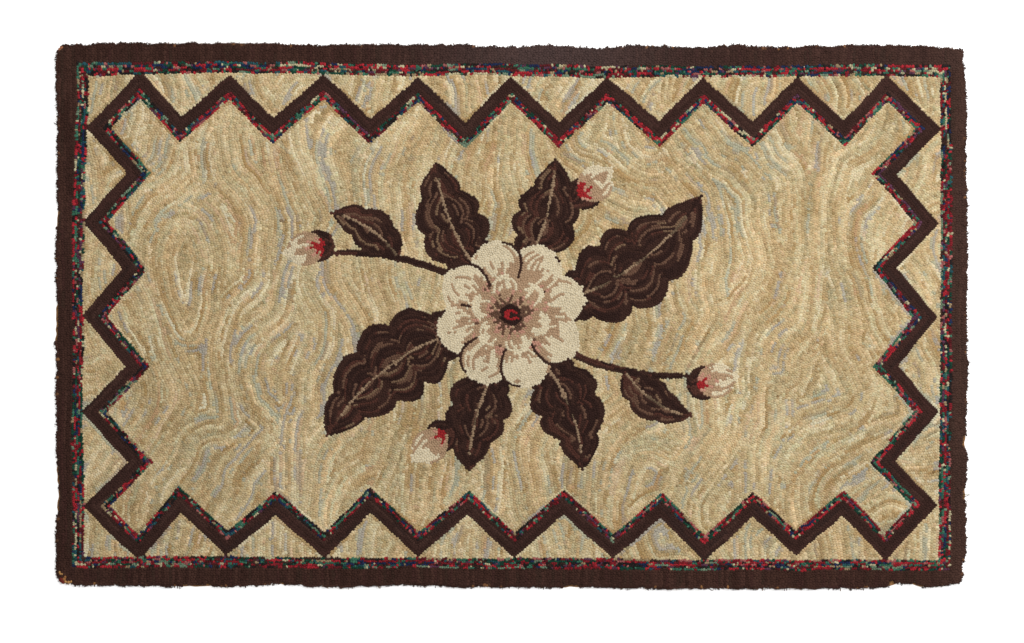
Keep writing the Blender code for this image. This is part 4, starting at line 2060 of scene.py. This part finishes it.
PIECE_PLANS = (
    PiecePlan("border_pile", Zone.BORDER, BORDER_WOOL),
    PiecePlan("tweed_stripe_pile", Zone.STRIPE, TWEED_WOOL),
    PiecePlan("zigzag_pile", Zone.BAND, BAND_WOOL),
    PiecePlan("zigzag_tweed_pile", Zone.TWEED, TWEED_WOOL),
    PiecePlan("ground_pile_left", Zone.GROUND, GROUND_WOOL, to_x=-GROUND_CUT),
    PiecePlan("ground_pile_middle", Zone.GROUND, GROUND_WOOL, -GROUND_CUT, GROUND_CUT),
    PiecePlan("ground_pile_right", Zone.GROUND, GROUND_WOOL, from_x=GROUND_CUT),
    PiecePlan("leaf_pile", Zone.LEAVES, LEAF_WOOL),
    PiecePlan("petal_pile", Zone.PETALS, PETAL_WOOL),
)


@dataclass
class HookedRug:
    """The whole rug: foundation and pile."""

    layout: Layout = field(default_factory=Layout)
    motif: Motif = field(default_factory=Motif)
    hand: Hand = field(default_factory=Hand)
    bare_out: float = 0.35 * ROW  # how far past the rim the bare places lie
    map_margin: float = 2 * MM
    seed: int = 5

    def lay(self, rim: Array) -> Pile:
        """Lays every row, settles them, and strays them as a hand does.

        Args:
            rim: The rug's ragged outline.

        Returns:
            The finished pile.
        """
        parts = [
            Border().hooked(self.layout, rim),
            Tweed().stripe(self.layout),
            Tweed().line(self.layout),
            Band().hooked(self.layout),
            self.motif.hooked(),
            Ground().hooked(self.layout, self.motif),
        ]
        loops = Loops.joined(parts)
        log.info("rows laid: %d loops", len(loops.place))
        bare = walk(moved_in(rim, -self.bare_out), STITCH, closed=True).place
        loops = Settling().settled(loops, bare, self.layout, self.motif)
        gone = worn(loops.place) & (loops.zone == Zone.BORDER)
        bare = np.vstack([bare, loops.place[gone]])
        loops = loops.chosen(~gone)
        rng = np.random.default_rng(self.seed)
        loops.place += rng.normal(0, MM, loops.place.shape) * np.array(UNEVEN_MM)[loops.zone][:, None]
        loops.place, bare = self.hand.strayed(loops.place), self.hand.strayed(bare)
        loops.colour = Ageing().applied(loops)
        log.info("settled: %d loops", len(loops.place))
        return Pile(loops, bare)

    def build(self) -> list[bpy.types.Object]:
        """Builds and dresses every piece."""
        rim = self.hand.rim(rug_outline())
        low, high = (np.array(corner) for corner in CAD_BOX)
        pile = self.lay(rim)
        grain, weave = wool_group(), weave_group()
        foundation = Foundation().build(self.hand.strayed(rim))
        foundation.data.materials.append(BurlapFinish().material(weave))
        self.place(foundation, BURLAP_SLOT)
        pieces = []
        materials = {}
        x = pile.loops.place[:, 0]
        for plan in PIECE_PLANS:
            mask = (pile.loops.zone == plan.zone) & (x >= plan.from_x) & (x < plan.to_x)
            surface, sharp = pile.surface(mask, low - self.map_margin, high + self.map_margin)
            piece = mesh_object(plan.name, surface, sharp)
            if plan.finish.name not in materials:
                materials[plan.finish.name] = plan.finish.material(grain)
            piece.data.materials.append(materials[plan.finish.name])
            self.place(piece, PILE_SLOT)
            pieces.append(piece)
        fuzz = mesh_object("rim_fuzz", Fuzz().surface(self.hand.strayed(rim)))
        fuzz.data.materials.append(materials[BORDER_WOOL.name])
        self.place(fuzz, PILE_SLOT)
        pieces.append(fuzz)
        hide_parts(RUG_NODE)
        return [foundation, *pieces]

    def place(self, piece: bpy.types.Object, slot: str) -> None:
        """Rides a piece on the rug's body and reports it."""
        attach(piece, BODY)
        log.info("%s: %d faces", piece.name, len(piece.data.polygons))


def main() -> None:
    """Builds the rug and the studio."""
    logging.basicConfig(level=logging.INFO, format="%(name)s %(message)s")
    HookedRug().build()
    Studio().build()


if __name__ == "__main__":
    main()
